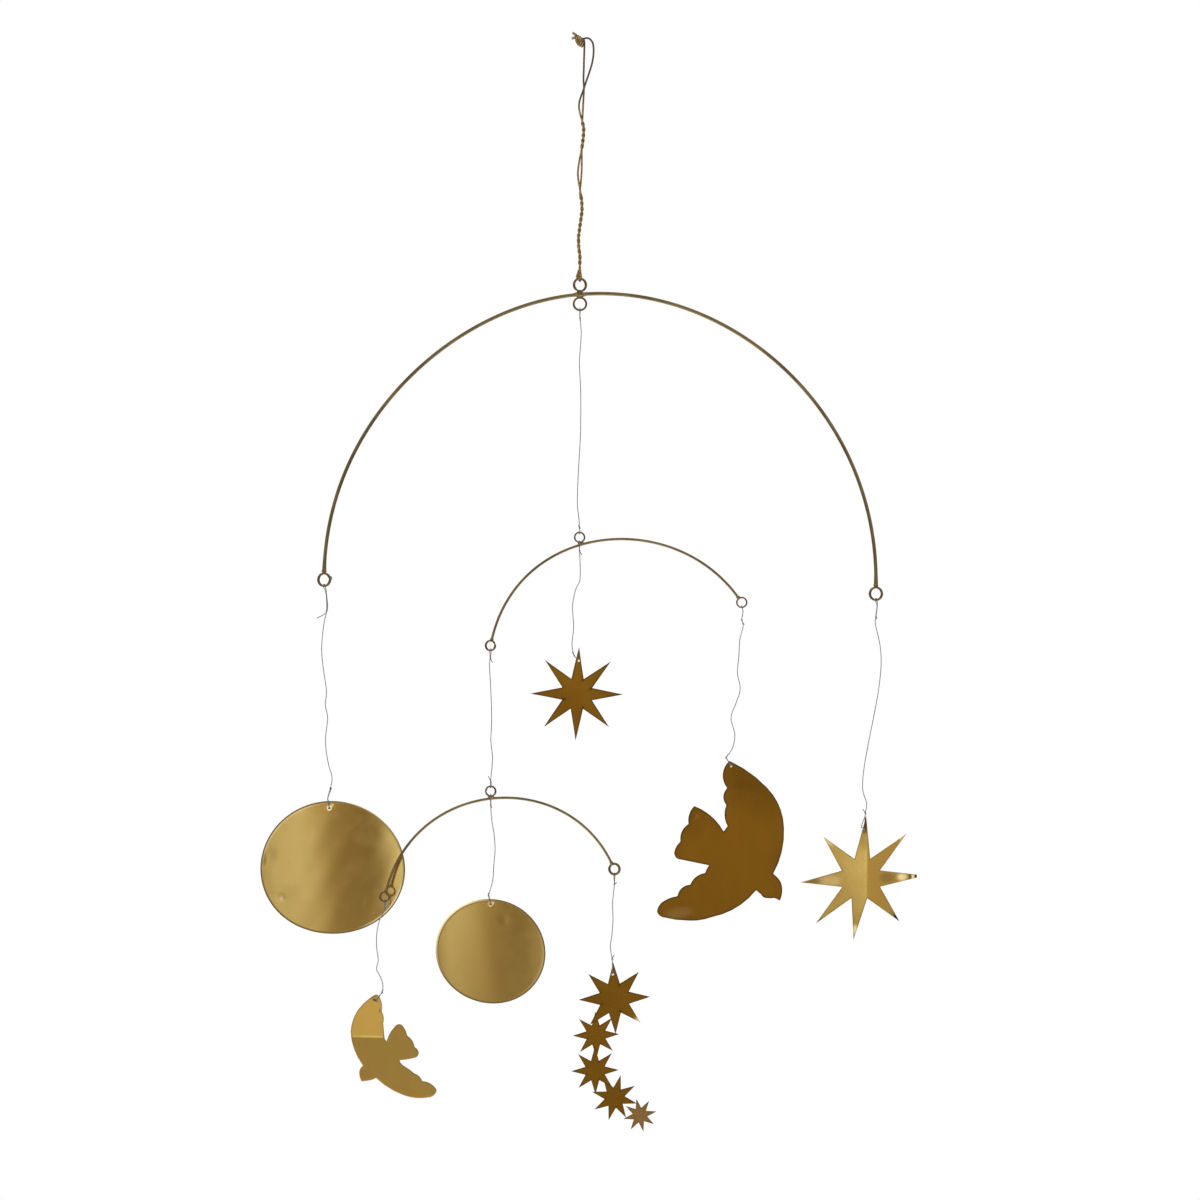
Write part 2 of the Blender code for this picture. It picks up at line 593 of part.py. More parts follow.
def turn_round_wire(wire, size, side, knot):
    """Thread points from one side of a knot, round a ring's winding, to the knot's other side.

    wire is the middle of the winding, above or below the knot; side is the unit vector to
    the side that the turn starts from.
    """
    way = UP if wire.z > knot.z else -UP
    turn = half_turn(wire, size, side, way)
    return [knot + side * THREAD_STRAND, *turn, knot - side * THREAD_STRAND]


def turn_through_hole(hanger, edge, knot):
    """Thread points from the knot's front, through a pendant's hole, to the knot's back.

    edge is how far the sheet's rim is from the hole on the way to the knot.
    """
    hole = hanger.place
    way = (knot - hole).normalized()
    profile = ((edge + RIM_REACH, SHEET / 2 + GAP + THREAD_RADIUS), *HOLE_TURN)
    front = [hole + way * reach - hanger.across * depth for reach, depth in profile]
    back = [hole + way * reach + hanger.across * depth for reach, depth in profile]
    start = knot - hanger.across * THREAD_STRAND
    end = knot + hanger.across * THREAD_STRAND
    return [start, *front, hole.copy(), *reversed(back), end]


def build_thread(name, upper, lower, wander, tags):
    """One thread: cut end, turn over the upper wire, the free length, lower turn, cut end.

    upper and lower are lists of points that start and end beside a knot; wander holds
    (x, z) points between them; tags are the two cut ends, as offsets from the knots.
    """
    start, end = upper[-1], lower[0]
    free = []
    for x, z in wander:
        share = (start.z - z) / (start.z - end.z)
        free.append(Vector((x, start.y + (end.y - start.y) * share, z)))
    route = [upper[0] + Vector(tags[0]), *upper, *free, *lower, lower[-1] + Vector(tags[1])]
    add_tube(name, smooth_route(route, CURVE_PIECE), THREAD_RADIUS, YARN_DETAIL, NYLON_GREY)


def knot_below(ring, drop):
    """Knot of a thread below a ring."""
    return ring.foot - UP * drop


def hang_pendant(name, ring, drop, hanger, knot, edge, wander, tags):
    """Thread from a ring down to a pendant's hole.

    knot is the lower knot as (x, z) from the hole, past the sheet's rim at edge.
    """
    upper = turn_round_wire(ring.foot, ring.turn_size(THREAD_RADIUS), ring.across, knot_below(ring, drop))
    lower_knot = hanger.place + Vector((knot[0], 0.0, knot[1]))
    build_thread(name, upper, turn_through_hole(hanger, edge, lower_knot), wander, tags)


def hang_arm(name, ring, drop, arm_ring, wander, tags):
    """Thread from a ring down to the hanging ring of the arm below it."""
    upper = turn_round_wire(ring.foot, ring.turn_size(THREAD_RADIUS), ring.across, knot_below(ring, drop))
    knot = arm_ring.top + UP * ARM_KNOT_RISE
    lower = turn_round_wire(arm_ring.top, arm_ring.turn_size(THREAD_RADIUS), -arm_ring.across, knot)
    build_thread(name, upper, lower, wander, tags)


# ---- hanging cord ----------------------------------------------------------------------


def twist_stations():
    """Height, strand gap and turn in degrees of each station down the twisted pair."""
    stations = []
    turn = 0.0
    for first, last, quarters, gap in TWIST_RUNS:
        steps = max(1, quarters * QUARTER_STEPS)
        for i in range(quarters * QUARTER_STEPS + 1):
            height = first + (last - first) * i / steps
            stations.append((height, gap, turn + QUARTER_TURN * i / QUARTER_STEPS))
        turn += QUARTER_TURN * (quarters + 1)
    return stations


def twisted_strand(phase):
    """Points of one strand down the twisted pair; phase turns it round the pair's axis."""
    points = []
    for height, gap, turn in twist_stations():
        angle = math.radians(phase + turn)
        across = along_line(TWIST_AXIS, height) + math.cos(angle) * gap / 2
        points.append(Vector((across, math.sin(angle) * gap / 2, height)))
    return points


def build_cord(ring):
    """The cord: down from the knot, through the hanging ring, and back up to the knot."""
    depth = TWIST_RUNS[0][3] / 2
    left = [Vector((x, -depth * i / len(LEFT_STRAND), z)) for i, (x, z) in enumerate(LEFT_STRAND)]
    count = len(RIGHT_STRAND)
    right = [Vector((x, depth * (count - 1 - i) / count, z)) for i, (x, z) in enumerate(RIGHT_STRAND)]
    loop = half_turn(ring.top, ring.turn_size(CORD_RADIUS), -ring.across, -UP)
    rise = reversed(twisted_strand(90.0))
    route = [*left, *twisted_strand(-90.0), *loop, *rise, *right]
    add_tube("hanging_cord", smooth_route(route, CORD_PIECE), CORD_RADIUS, YARN_DETAIL, GOLD_CORD)


def build_knot():
    """The knot that closes the cord's loop, with its two cut ends."""
    start = Vector((KNOT_START[0], 0.0, KNOT_START[1]))
    end = Vector((KNOT_END[0], 0.0, KNOT_END[1]))
    frame = (end - start).to_track_quat("Z", "Y").to_matrix()
    shape = bmesh.new()
    rings = []
    for share, radius in KNOT_PROFILE:
        turns = [2.0 * math.pi * i / KNOT_SIDES for i in range(KNOT_SIDES)]
        corners = [frame @ Vector((math.cos(a) * radius, math.sin(a) * radius, 0.0)) for a in turns]
        rings.append([shape.verts.new((start.lerp(end, share) + corner) * MM) for corner in corners])
    for lower, upper in zip(rings, rings[1:]):
        for i in range(KNOT_SIDES):
            j = (i + 1) % KNOT_SIDES
            shape.faces.new((lower[i], lower[j], upper[j], upper[i]))
    shape.faces.new(list(reversed(rings[0])))
    shape.faces.new(rings[-1])
    mesh = bpy.data.meshes.new("cord_knot")
    shape.to_mesh(mesh)
    shape.free()
    mesh.shade_smooth()
    knot = add_object("cord_knot", mesh, GOLD_CORD)
    for number, (root, tip) in enumerate(KNOT_TAILS, start=1):
        tail = add_tail_guide(number, Vector((root[0], 0.0, root[1])), Vector((tip[0], 0.0, tip[1])))
        join = knot.modifiers.new("tail_" + str(number), "BOOLEAN")
        join.operation = "UNION"
        join.object = tail


def add_tail_guide(number, root, tip):
    """Short rod for a cut end of the cord, joined to the knot by a Boolean."""
    shape = bmesh.new()
    turn = (tip - root).to_track_quat("Z", "Y").to_matrix().to_4x4()
    place = Matrix.Translation((root + tip) / 2 * MM) @ turn
    bmesh.ops.create_cone(shape, cap_ends=True, segments=KNOT_SIDES, radius1=CORD_RADIUS * MM,
                          radius2=CORD_RADIUS * MM, depth=(tip - root).length * MM, matrix=place)
    mesh = bpy.data.meshes.new("knot_tail_guide_" + str(number))
    shape.to_mesh(mesh)
    shape.free()
    tail = add_object(mesh.name, mesh, GOLD_CORD)
    tail.hide_render = True
    tail.display_type = "WIRE"
    return tail


# ---- the whole mobile ------------------------------------------------------------------


def below(ring, drop, shift=0.0):
    """Place below a ring's centre for a pendant's hole."""
    return ring.centre + Vector((shift, 0.0, -drop))


def build_mobile():
    """Build every arm, pendant, thread and the hanging cord."""
    top = build_top_arm()
    middle = build_side_arm("middle_arm", MIDDLE_PLACE, MIDDLE_YAW, MIDDLE_CONTROL, MIDDLE_HANG,
                            MIDDLE_RINGS, MIDDLE_RING_TURNS)
    lower_place = middle["left"].centre.copy()
    lower_place.z = LOWER_LEVEL
    lower = build_side_arm("lower_arm", lower_place, LOWER_YAW, LOWER_CONTROL, LOWER_HANG,
                           LOWER_RINGS, LOWER_RING_TURNS)

    large_disc = build_disc("large_disc", LARGE_DISC_HOLE, LARGE_DISC_YAW, LARGE_DISC_CENTRE,
                            LARGE_DISC_RADIUS, LARGE_DISC_STRETCH, LARGE_DISC_LUMP, LARGE_DISC_BOW)
    small_disc = build_disc("small_disc", below(lower["hanging"], SMALL_DISC_DROP), SMALL_DISC_YAW,
                            SMALL_DISC_CENTRE, SMALL_DISC_RADIUS, SMALL_DISC_STRETCH, SMALL_DISC_LUMP,
                            SMALL_DISC_BOW)
    centre_star = build_centre_star()
    right_star = build_right_star()
    large_bird = build_large_bird()
    small_bird = build_small_bird(below(lower["left"], SMALL_BIRD_HOLE_DROP, SMALL_BIRD_SHIFT))
    star_chain = build_star_chain(below(lower["right"], CHAIN_HOLE_DROP, -1.0))

    build_cord(top["hanging"])
    build_knot()
    hang_arm("middle_arm_thread", top["lower"], 5.0, middle["hanging"], MIDDLE_ARM_THREAD,
             ((1.5, 0.5, -2.5), (-1.5, 0.6, 2.5)))
    hang_arm("lower_arm_thread", middle["left"], 5.0, lower["hanging"], LOWER_ARM_THREAD,
             ((1.2, 0.5, -2.5), (-1.6, 0.6, 3.2)))
    hang_pendant("centre_star_thread", middle["hanging"], 5.4, centre_star, (-2.5, 3.4), 2.4,
                 CENTRE_STAR_THREAD, ((1.5, 0.4, -2.5), (-1.2, 0.6, 2.4)))
    hang_pendant("large_disc_thread", top["left"], 15.5, large_disc, (-1.0, 6.1), 4.6,
                 LARGE_DISC_THREAD, ((-6.5, 0.6, -5.6), (1.5, 0.8, 2.6)))
    hang_pendant("right_star_thread", top["right"], 10.5, right_star, (0.6, 10.0), 8.2,
                 RIGHT_STAR_THREAD, ((1.8, 0.6, -3.4), (-1.6, 0.7, 2.2)))
    hang_pendant("large_bird_thread", middle["right"], 8.0, large_bird, (-3.1, 5.4), 4.3,
                 LARGE_BIRD_THREAD, ((1.6, 0.5, -2.8), (1.5, 0.6, 2.2)))
    hang_pendant("small_disc_thread", lower["hanging"], 5.4, small_disc, (-1.3, 5.3), 3.6,
                 SMALL_DISC_THREAD, ((1.5, 0.5, -2.6), (-1.5, 0.6, 2.2)))
    hang_pendant("small_bird_thread", lower["left"], 5.0, small_bird, (3.6, 4.7), 4.1,
                 SMALL_BIRD_THREAD, ((-1.6, 0.4, -3.0), (1.4, 0.6, 2.4)))
    hang_pendant("star_chain_thread", lower["right"], 6.0, star_chain, (-0.4, 9.8), 8.0,
                 STAR_CHAIN_THREAD, ((2.2, 0.4, -3.4), (1.3, 0.6, 2.2)))


clear_scene()
build_mobile()
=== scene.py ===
"""Looks of a hanging brass mobile: wire arms, discs, stars, birds, threads and cord.

X runs across the arms, -Y points to the viewer and +Z is up. Lengths are in millimetres
unless a name or docstring says metres; meshes are made in metres. Each pendant's own
outline is in its upright plane as (x, z), with the thread hole at (0, 0).
"""

from __future__ import annotations

import json
import logging
from collections.abc import Callable, Sequence
from dataclasses import dataclass, field
from enum import Enum
from math import atan2, ceil, copysign, cos, degrees, pi, radians, sin, sqrt

import bpy
import numpy as np
from mathutils import Matrix, Vector
from mathutils.geometry import delaunay_2d_cdt

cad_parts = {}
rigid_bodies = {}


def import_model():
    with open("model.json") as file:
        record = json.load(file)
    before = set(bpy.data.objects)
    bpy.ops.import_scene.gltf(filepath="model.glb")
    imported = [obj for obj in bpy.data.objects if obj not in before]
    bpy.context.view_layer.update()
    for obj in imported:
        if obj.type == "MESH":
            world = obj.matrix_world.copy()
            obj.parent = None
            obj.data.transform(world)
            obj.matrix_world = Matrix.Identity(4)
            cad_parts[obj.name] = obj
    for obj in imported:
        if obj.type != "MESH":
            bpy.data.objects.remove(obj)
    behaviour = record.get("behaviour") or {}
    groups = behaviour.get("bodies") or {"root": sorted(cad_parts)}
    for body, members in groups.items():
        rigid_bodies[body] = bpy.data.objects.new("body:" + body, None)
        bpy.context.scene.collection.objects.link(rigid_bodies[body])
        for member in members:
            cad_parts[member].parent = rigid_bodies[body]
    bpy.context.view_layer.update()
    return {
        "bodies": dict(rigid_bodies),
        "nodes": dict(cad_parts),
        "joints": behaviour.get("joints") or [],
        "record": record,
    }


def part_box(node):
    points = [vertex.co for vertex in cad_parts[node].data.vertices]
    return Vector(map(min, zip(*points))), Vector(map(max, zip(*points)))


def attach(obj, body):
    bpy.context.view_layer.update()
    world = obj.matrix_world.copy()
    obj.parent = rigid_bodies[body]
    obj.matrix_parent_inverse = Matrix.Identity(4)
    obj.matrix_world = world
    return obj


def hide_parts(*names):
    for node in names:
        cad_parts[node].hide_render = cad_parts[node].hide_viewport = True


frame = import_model()

LOG = logging.getLogger("mobile")
MM = 0.001
UP = Vector((0.0, 0.0, 1.0))

Point = tuple[float, float]
Triple = tuple[float, float, float]
Quad = tuple[float, float, float, float]
Rows = np.ndarray
Route = Sequence[Vector]
Piece = bpy.types.Object
Mesh = bpy.types.Mesh
Material = bpy.types.Material
Socket = bpy.types.NodeSocket
Tree = bpy.types.NodeTree


class Slot(Enum):
    """Material slots of the record."""

    CORD = "gold_cord"
    THREAD = "thread"
    RING = "ring_wire"
    ARM = "arm_wire"
    DISC = "disc_sheet"
    BRIGHT = "bright_sheet"
    DARK = "dark_sheet"


@dataclass(frozen=True)
class Stock:
    """Sizes of the materials that the mobile is made of."""

    gap: float = 0.3  # air between two solids that meet
    sheet: float = 0.4  # gauge of every sheet
    hole: float = 0.7  # radius of a thread hole
    thread: float = 0.2  # radii of the thread, the cord and the wires
    thread_strand: float = 0.35  # half the distance between the two strands at a knot
    cord: float = 0.5
    top_wire: float = 1.1
    side_wire: float = 0.8


STOCK = Stock()


def new_object(name: str, data: bpy.types.ID) -> Piece:
    """An object with its data, linked to the scene.

    Args:
        name: Its name.
        data: Its mesh, light or camera.

    Returns:
        The object.
    """
    item = bpy.data.objects.new(name, data)
    bpy.context.scene.collection.objects.link(item)
    return item


# ---- node trees ----


class Nodes:
    """Adds and joins nodes in one tree, laid out from left to right."""

    STEP = 190.0
    DROP = -40.0
    LEVELS = 5

    def __init__(self, tree: Tree) -> None:
        """Work in a shader or geometry node tree."""
        self.tree = tree
        self.count = 0

    def join(self, source: object, target: Socket) -> None:
        """Link source to target, or set target where source is a plain value.

        Args:
            source: A socket or a plain value.
            target: The socket that takes it.
        """
        if isinstance(source, bpy.types.NodeSocket):
            self.tree.links.new(source, target)
        else:
            target.default_value = source

    def add(self, kind: str, values: dict | None = None, **settings: object) -> bpy.types.Node:
        """Add a node.

        Args:
            kind: Blender's name of the node type.
            values: Socket name or number to its plain value, or to a socket to join to it.
            **settings: Properties of the node, set before its sockets are.

        Returns:
            The new node.
        """
        node = self.tree.nodes.new(kind)
        node.location = (self.count * self.STEP, self.DROP * (self.count % self.LEVELS))
        self.count += 1
        for key, value in settings.items():
            setattr(node, key, value)
        for key, value in (values or {}).items():
            self.join(value, node.inputs[key])
        return node

    def out(self, kind: str, values: dict | None = None, **settings: object) -> Socket:
        """Add a node as add does, and return its first output."""
        return self.add(kind, values, **settings).outputs[0]

    def math(self, operation: str, *values: object) -> Socket:
        """Result of a Math node, from plain values or sockets."""
        return self.out("ShaderNodeMath", dict(enumerate(values)), operation=operation)

    def ranged(self, value: object, low: object, high: object, start: object = 0.0,
               end: object = 1.0) -> Socket:
        """Map value from low..high to start..end with smooth ends."""
        sockets = {"Value": value, "From Min": low, "From Max": high, "To Min": start, "To Max": end}
        return self.out("ShaderNodeMapRange", sockets, interpolation_type="SMOOTHSTEP")

    def mixed(self, factor: object, first: object, second: object) -> Socket:
        """Mix of two colours, with factor as the second one's share."""
        node = self.add("ShaderNodeMix", {0: factor, 6: first, 7: second}, data_type="RGBA")
        return node.outputs[2]

    def noise(self, seed: Socket, scale: object, detail: float, **more: object) -> Socket:
        """Noise Texture with a seed, and with other sockets such as Vector."""
        sockets = {"W": seed, "Scale": scale, "Detail": detail, **more}
        return self.add("ShaderNodeTexNoise", sockets, noise_dimensions="4D").outputs["Fac"]

    def attribute(self, name: str) -> Socket:
        """Value of a mesh attribute, for a shader."""
        return self.add("ShaderNodeAttribute", attribute_name=name).outputs["Fac"]

    def lift(self, height: object) -> Socket:
        """Vector that points up by height."""
        return self.out("ShaderNodeCombineXYZ", {"Z": height})

    def scaled(self, vector: Socket, factor: object) -> Socket:
        """A vector times a factor."""
        return self.out("ShaderNodeVectorMath", {0: vector, "Scale": factor}, operation="SCALE")

    def moved(self, shape: Socket, offset: Socket) -> Socket:
        """A shape with each of its points moved by offset."""
        return self.out("GeometryNodeSetPosition", {"Geometry": shape, "Offset": offset})

    def together(self, *shapes: Socket) -> Socket:
        """Several shapes as one, in their order.

        Args:
            *shapes: Geometry sockets.

        Returns:
            The joined shape's socket.
        """
        node = self.add("GeometryNodeJoinGeometry")
        for shape in shapes:
            self.join(shape, node.inputs[0])
        return node.outputs[0]

    def tube(self, line: Socket, radius: object, sides: object, **more: object) -> Socket:
        """A closed round tube along a curve.

        Args:
            line: The curve.
            radius: Value or socket, in metres.
            sides: Value or socket.
            **more: Other sockets, such as Scale.

        Returns:
            The tube's socket.
        """
        circle = self.out("GeometryNodeCurvePrimitiveCircle", {"Resolution": sides, "Radius": radius})
        return self.out("GeometryNodeCurveToMesh", {
            "Curve": line, "Profile Curve": circle, "Fill Caps": True, **more})


SOCKET_OF_TYPE = {float: "NodeSocketFloat", int: "NodeSocketInt", type(None): "NodeSocketVector"}
SOCKET_OF_NAME = {"Geometry": "NodeSocketGeometry", "Material": "NodeSocketMaterial"}


def new_group(name: str, kind: str, inputs: dict[str, object], outputs: Sequence[str]) -> tuple:
    """Start a node group with named sockets.

    Args:
        name: The group's name.
        kind: "ShaderNodeTree" or "GeometryNodeTree".
        inputs: Name of each input to its default, with None for a vector.
        outputs: Name of each output.

    Returns:
        The tree, its Nodes, the group input's outputs and the group output's inputs.
    """
    tree = bpy.data.node_groups.new(name, kind)
    for label, default in inputs.items():
        socket_type = SOCKET_OF_NAME.get(label, SOCKET_OF_TYPE[type(default)])
        socket = tree.interface.new_socket(label, in_out="INPUT", socket_type=socket_type)
        if default is not None:
            socket.default_value = default
    for label in outputs:
        socket_type = SOCKET_OF_NAME.get(label, "NodeSocketFloat")
        tree.interface.new_socket(label, in_out="OUTPUT", socket_type=socket_type)
    nodes = Nodes(tree)
    return tree, nodes, nodes.add("NodeGroupInput").outputs, nodes.add("NodeGroupOutput").inputs


# ---- shared shader effects ----


def shader_group(name: str, inputs: dict[str, float], outputs: Sequence[str]) -> tuple:
    """Start a shader group whose first input is Vector and whose last is Seed."""
    return new_group(name, "ShaderNodeTree", {"Vector": None, **inputs, "Seed": 0.0}, outputs)


class Effects:
    """Shader node groups that more than one finish uses."""

    def __init__(self) -> None:
        """Build each group once."""
        self.grain = self._rolled_grain()
        self.tarnish = self._tarnish()
        self.marks = self._handling_marks()
        self.twist = self._yarn_twist()

    @staticmethod
    def _rolled_grain() -> Tree:
        """Fine lines that rolling or drawing leaves, along one direction, and broad streaks along it that
        also paint soft reflection bands.

        Returns:
            Group with Vector, Fineness, Length and Seed in; Height and the streak mask, which also paints
            reflection bands, out.
        """
        tree, nodes, given, made = shader_group(
            "rolled_grain", {"Fineness": 1400.0, "Length": 60.0}, ("Height", "StreakAndPaintedBand"))
        sizes = {"X": given["Fineness"], "Y": given["Fineness"], "Z": given["Length"]}
        scale = nodes.out("ShaderNodeCombineXYZ", sizes)
        place = nodes.out("ShaderNodeVectorMath", {0: given["Vector"], 1: scale}, operation="MULTIPLY")
        fine = nodes.noise(given["Seed"], 1.0, 3.0, Vector=place, Roughness=0.6)
        broad = nodes.noise(given["Seed"], 0.14, 2.0, Vector=place)
        nodes.join(nodes.math("MULTIPLY_ADD", broad, 0.6, fine), made["Height"])
        nodes.join(nodes.ranged(broad, 0.35, 0.65), made["StreakAndPaintedBand"])
        return tree

    @staticmethod
    def _tarnish() -> Tree:
        """Clouds of tarnish, with small specks where the lacquer has let air in.

        Returns:
            Group with Vector, Cloud, Speck and Seed in; Mask and Specks out.
        """
        tree, nodes, given, made = shader_group(
            "tarnish", {"Cloud": 30.0, "Speck": 900.0}, ("Mask", "Specks"))
        place, seed = given["Vector"], given["Seed"]
        cloud = nodes.noise(seed, given["Cloud"], 5.0, Vector=place, Roughness=0.55, Distortion=0.4)
        speck = nodes.noise(seed, given["Speck"], 2.0, Vector=place)
        nodes.join(nodes.ranged(cloud, 0.38, 0.66), made["Mask"])
        nodes.join(nodes.ranged(speck, 0.66, 0.78), made["Specks"])
        return tree

    @staticmethod
    def _handling_marks() -> Tree:
        """Hairline scratches and finger smears.

        Returns:
            Group with Vector, Density and Seed in; Scratches and Smears out.
        """
        tree, nodes, given, made = shader_group(
            "handling_marks", {"Density": 90.0}, ("Scratches", "Smears"))
        drawn_out = {"Vector": given["Vector"], "Rotation": (0.3, 0.9, 0.2), "Scale": (1.0, 1.0, 9.0)}
        turned = nodes.out("ShaderNodeMapping", drawn_out)
        lines = nodes.noise(given["Seed"], given["Density"], 1.0, Vector=turned)
        away = nodes.math("ABSOLUTE", nodes.math("SUBTRACT", lines, 0.5))
        nodes.join(nodes.ranged(away, 0.0, 0.006, 1.0, 0.0), made["Scratches"])
        smear = nodes.noise(given["Seed"], 70.0, 3.0, Vector=given["Vector"], Distortion=1.2)
        nodes.join(nodes.ranged(smear, 0.45, 0.7), made["Smears"])
        return tree

    @staticmethod
    def _yarn_twist() -> Tree:
        """Fibres laid round a ply, and flat metal strips that flash between them.

        Returns:
            Group with Vector, Fineness and Seed in; Fibre and Flash out.
        """
        tree, nodes, given, made = shader_group("yarn_twist", {"Fineness": 1500.0}, ("Fibre", "Flash"))
        place, seed, fineness = given["Vector"], given["Seed"], given["Fineness"]
        nodes.join(nodes.noise(seed, fineness, 3.0, Vector=place, Roughness=0.7), made["Fibre"])
        cells = {"Vector": place, "W": seed, "Scale": nodes.math("MULTIPLY", fineness, 0.8)}
        flash = nodes.add("ShaderNodeTexVoronoi", cells, voronoi_dimensions="4D").outputs["Color"]
        tone = nodes.out("ShaderNodeSeparateColor", {0: flash})
        nodes.join(nodes.ranged(tone, 0.55, 0.7), made["Flash"])
        return tree


# ---- finishes ----


def opaque(colour: Triple) -> Quad:
    """A colour with full alpha."""
    return (*colour, 1.0)


def blank_material(name: str) -> tuple:
    """Start a material.

    Args:
        name: Its name.

    Returns:
        The material, its Nodes, the Principled shader's inputs and the Object coordinates.
    """
    material = bpy.data.materials.new(name)
    material.use_nodes = True
    nodes = Nodes(material.node_tree)
    shader = material.node_tree.nodes["Principled BSDF"].inputs
    return material, nodes, shader, nodes.add("ShaderNodeTexCoord").outputs["Object"]


def add_bump(nodes: Nodes, shader: object, strength: float, height: Socket) -> None:
    """Give a material fine relief of a strength, from its height at each place."""
    bump = nodes.out("ShaderNodeBump", {"Strength": strength, "Distance": 0.1 * MM, "Height": height})
    nodes.join(bump, shader["Normal"])


@dataclass(frozen=True)
class MetalFinish:
    """Brass or bronze, with grain, tarnish and handling marks, and with painted shade along its cut edges
    and painted shade and highlight patches.
    """

    name: str
    clean: Triple
    tarnished: Triple
    # colour of the tarnish specks, and of the painted shade along cut edges, round holes and in dark patches
    edge: Triple
    roughness: float
    tarnish: float = 0.5
    specks: float = 0.3
    grain: float = 0.12
    fineness: float = 1400.0
    length: float = 60.0
    cloud: float = 30.0
    seed: float = 0.0
    # colour of the painted highlights
    highlight_colour: Triple = (0.95, 0.76, 0.38)
    streaks_and_painted_bands: float = 0.12  # share of the tarnish that follows the grain, as streaks that also paint soft reflection bands
    highlight_metallic: float = -0.8  # what the painted highlights take from Metallic
    tarnish_rough: float = 0.03  # what tarnish, smears and the places of painted shade add to Roughness
    smear_rough: float = 0.02
    edge_rough: float = 0.3
    scratch_depth: float = -0.5

    def material(self, effects: Effects) -> Material:
        """Make the material.

        Args:
            effects: Shared shader groups.

        Returns:
            The new material.
        """
        material, nodes, shader, place = blank_material(self.name)

        made = []
        for tree, values in (
            (effects.grain, {"Fineness": self.fineness, "Length": self.length}),
            (effects.tarnish, {"Cloud": self.cloud}),
            (effects.marks, {}),
        ):
            sockets = {"Vector": place, "Seed": self.seed, **values}
            made.append(nodes.add("ShaderNodeGroup", sockets, node_tree=tree).outputs)
        grain, tarnish, marks = made
        # The two attributes hold the painted shade, which darkens towards the edge colour, and the painted
        # highlights, which lighten towards the highlight colour.
        painted_shade, painted_highlight = nodes.attribute("painted_shade"), nodes.attribute("painted_highlight")
        clouds = nodes.math("MULTIPLY", tarnish["Mask"], self.tarnish)
        streaks_and_painted_bands = nodes.math("MULTIPLY_ADD", grain["StreakAndPaintedBand"], self.streaks_and_painted_bands * self.tarnish, clouds)
        soft = nodes.mixed(streaks_and_painted_bands, opaque(self.clean), opaque(self.tarnished))
        spots = nodes.math("MULTIPLY", tarnish["Specks"], self.specks)
        with_painted_shade = nodes.mixed(painted_shade, nodes.mixed(spots, soft, opaque(self.edge)), opaque(self.edge))
        nodes.join(nodes.mixed(painted_highlight, with_painted_shade, opaque(self.highlight_colour)), shader["Base Color"])
        nodes.join(nodes.math("MULTIPLY_ADD", painted_highlight, self.highlight_metallic, 1.0), shader["Metallic"])
        rough = nodes.math("MULTIPLY_ADD", tarnish["Mask"], self.tarnish_rough, self.roughness)
        smeared = nodes.math("MULTIPLY_ADD", marks["Smears"], self.smear_rough, rough)
        nodes.join(nodes.math("MULTIPLY_ADD", painted_shade, self.edge_rough, smeared), shader["Roughness"])
        height = nodes.math("MULTIPLY_ADD", marks["Scratches"], self.scratch_depth, grain["Height"])
        add_bump(nodes, shader, self.grain, height)
        return material


@dataclass(frozen=True)
class YarnFinish:
    """Thread or metallic yarn: dull fibres with an amount of flashing metal strip."""

    name: str
    fibre: Triple
    shade: Triple
    strip: Triple
    flash: float
    roughness: float
    metallic: float
    fineness: float = 1500.0
    seed: float = 0.0
    dull: Triple = (0.048, 0.030, 0.024)
    dull_band: Point = (1.0, 2.0)  # heights in metres between which the dull part starts
    dull_share: float = 0.85  # how far the dull colour covers the yarn there
    dull_flash: float = -0.9  # and the share of the flashes that it takes
    strip_rough: float = -0.25
    relief: float = 0.4

    def material(self, effects: Effects) -> Material:
        """Make the material.

        Args:
            effects: Shared shader groups.

        Returns:
            The new material.
        """
        material, nodes, shader, place = blank_material(self.name)
        height = nodes.add("ShaderNodeSeparateXYZ", {"Vector": place}).outputs["Z"]
        dull = nodes.ranged(height, *self.dull_band)
        sockets = {"Vector": place, "Fineness": self.fineness, "Seed": self.seed}
        twist = nodes.add("ShaderNodeGroup", sockets, node_tree=effects.twist).outputs
        fibres = nodes.ranged(twist["Fibre"], 0.35, 0.65)
        lit = nodes.mixed(fibres, opaque(self.shade), opaque(self.fibre))
        base = nodes.mixed(nodes.math("MULTIPLY", dull, self.dull_share), lit, opaque(self.dull))
        shown = nodes.math("MULTIPLY_ADD", dull, self.dull_flash * self.flash, self.flash)
        strips = nodes.math("MULTIPLY", twist["Flash"], shown)
        nodes.join(nodes.mixed(strips, base, opaque(self.strip)), shader["Base Color"])
        if self.metallic:
            nodes.join(nodes.math("MULTIPLY", strips, self.metallic), shader["Metallic"])
        rough = nodes.math("MULTIPLY_ADD", strips, self.strip_rough, self.roughness)
        nodes.join(rough, shader["Roughness"])
        add_bump(nodes, shader, self.relief, twist["Fibre"])
        return material


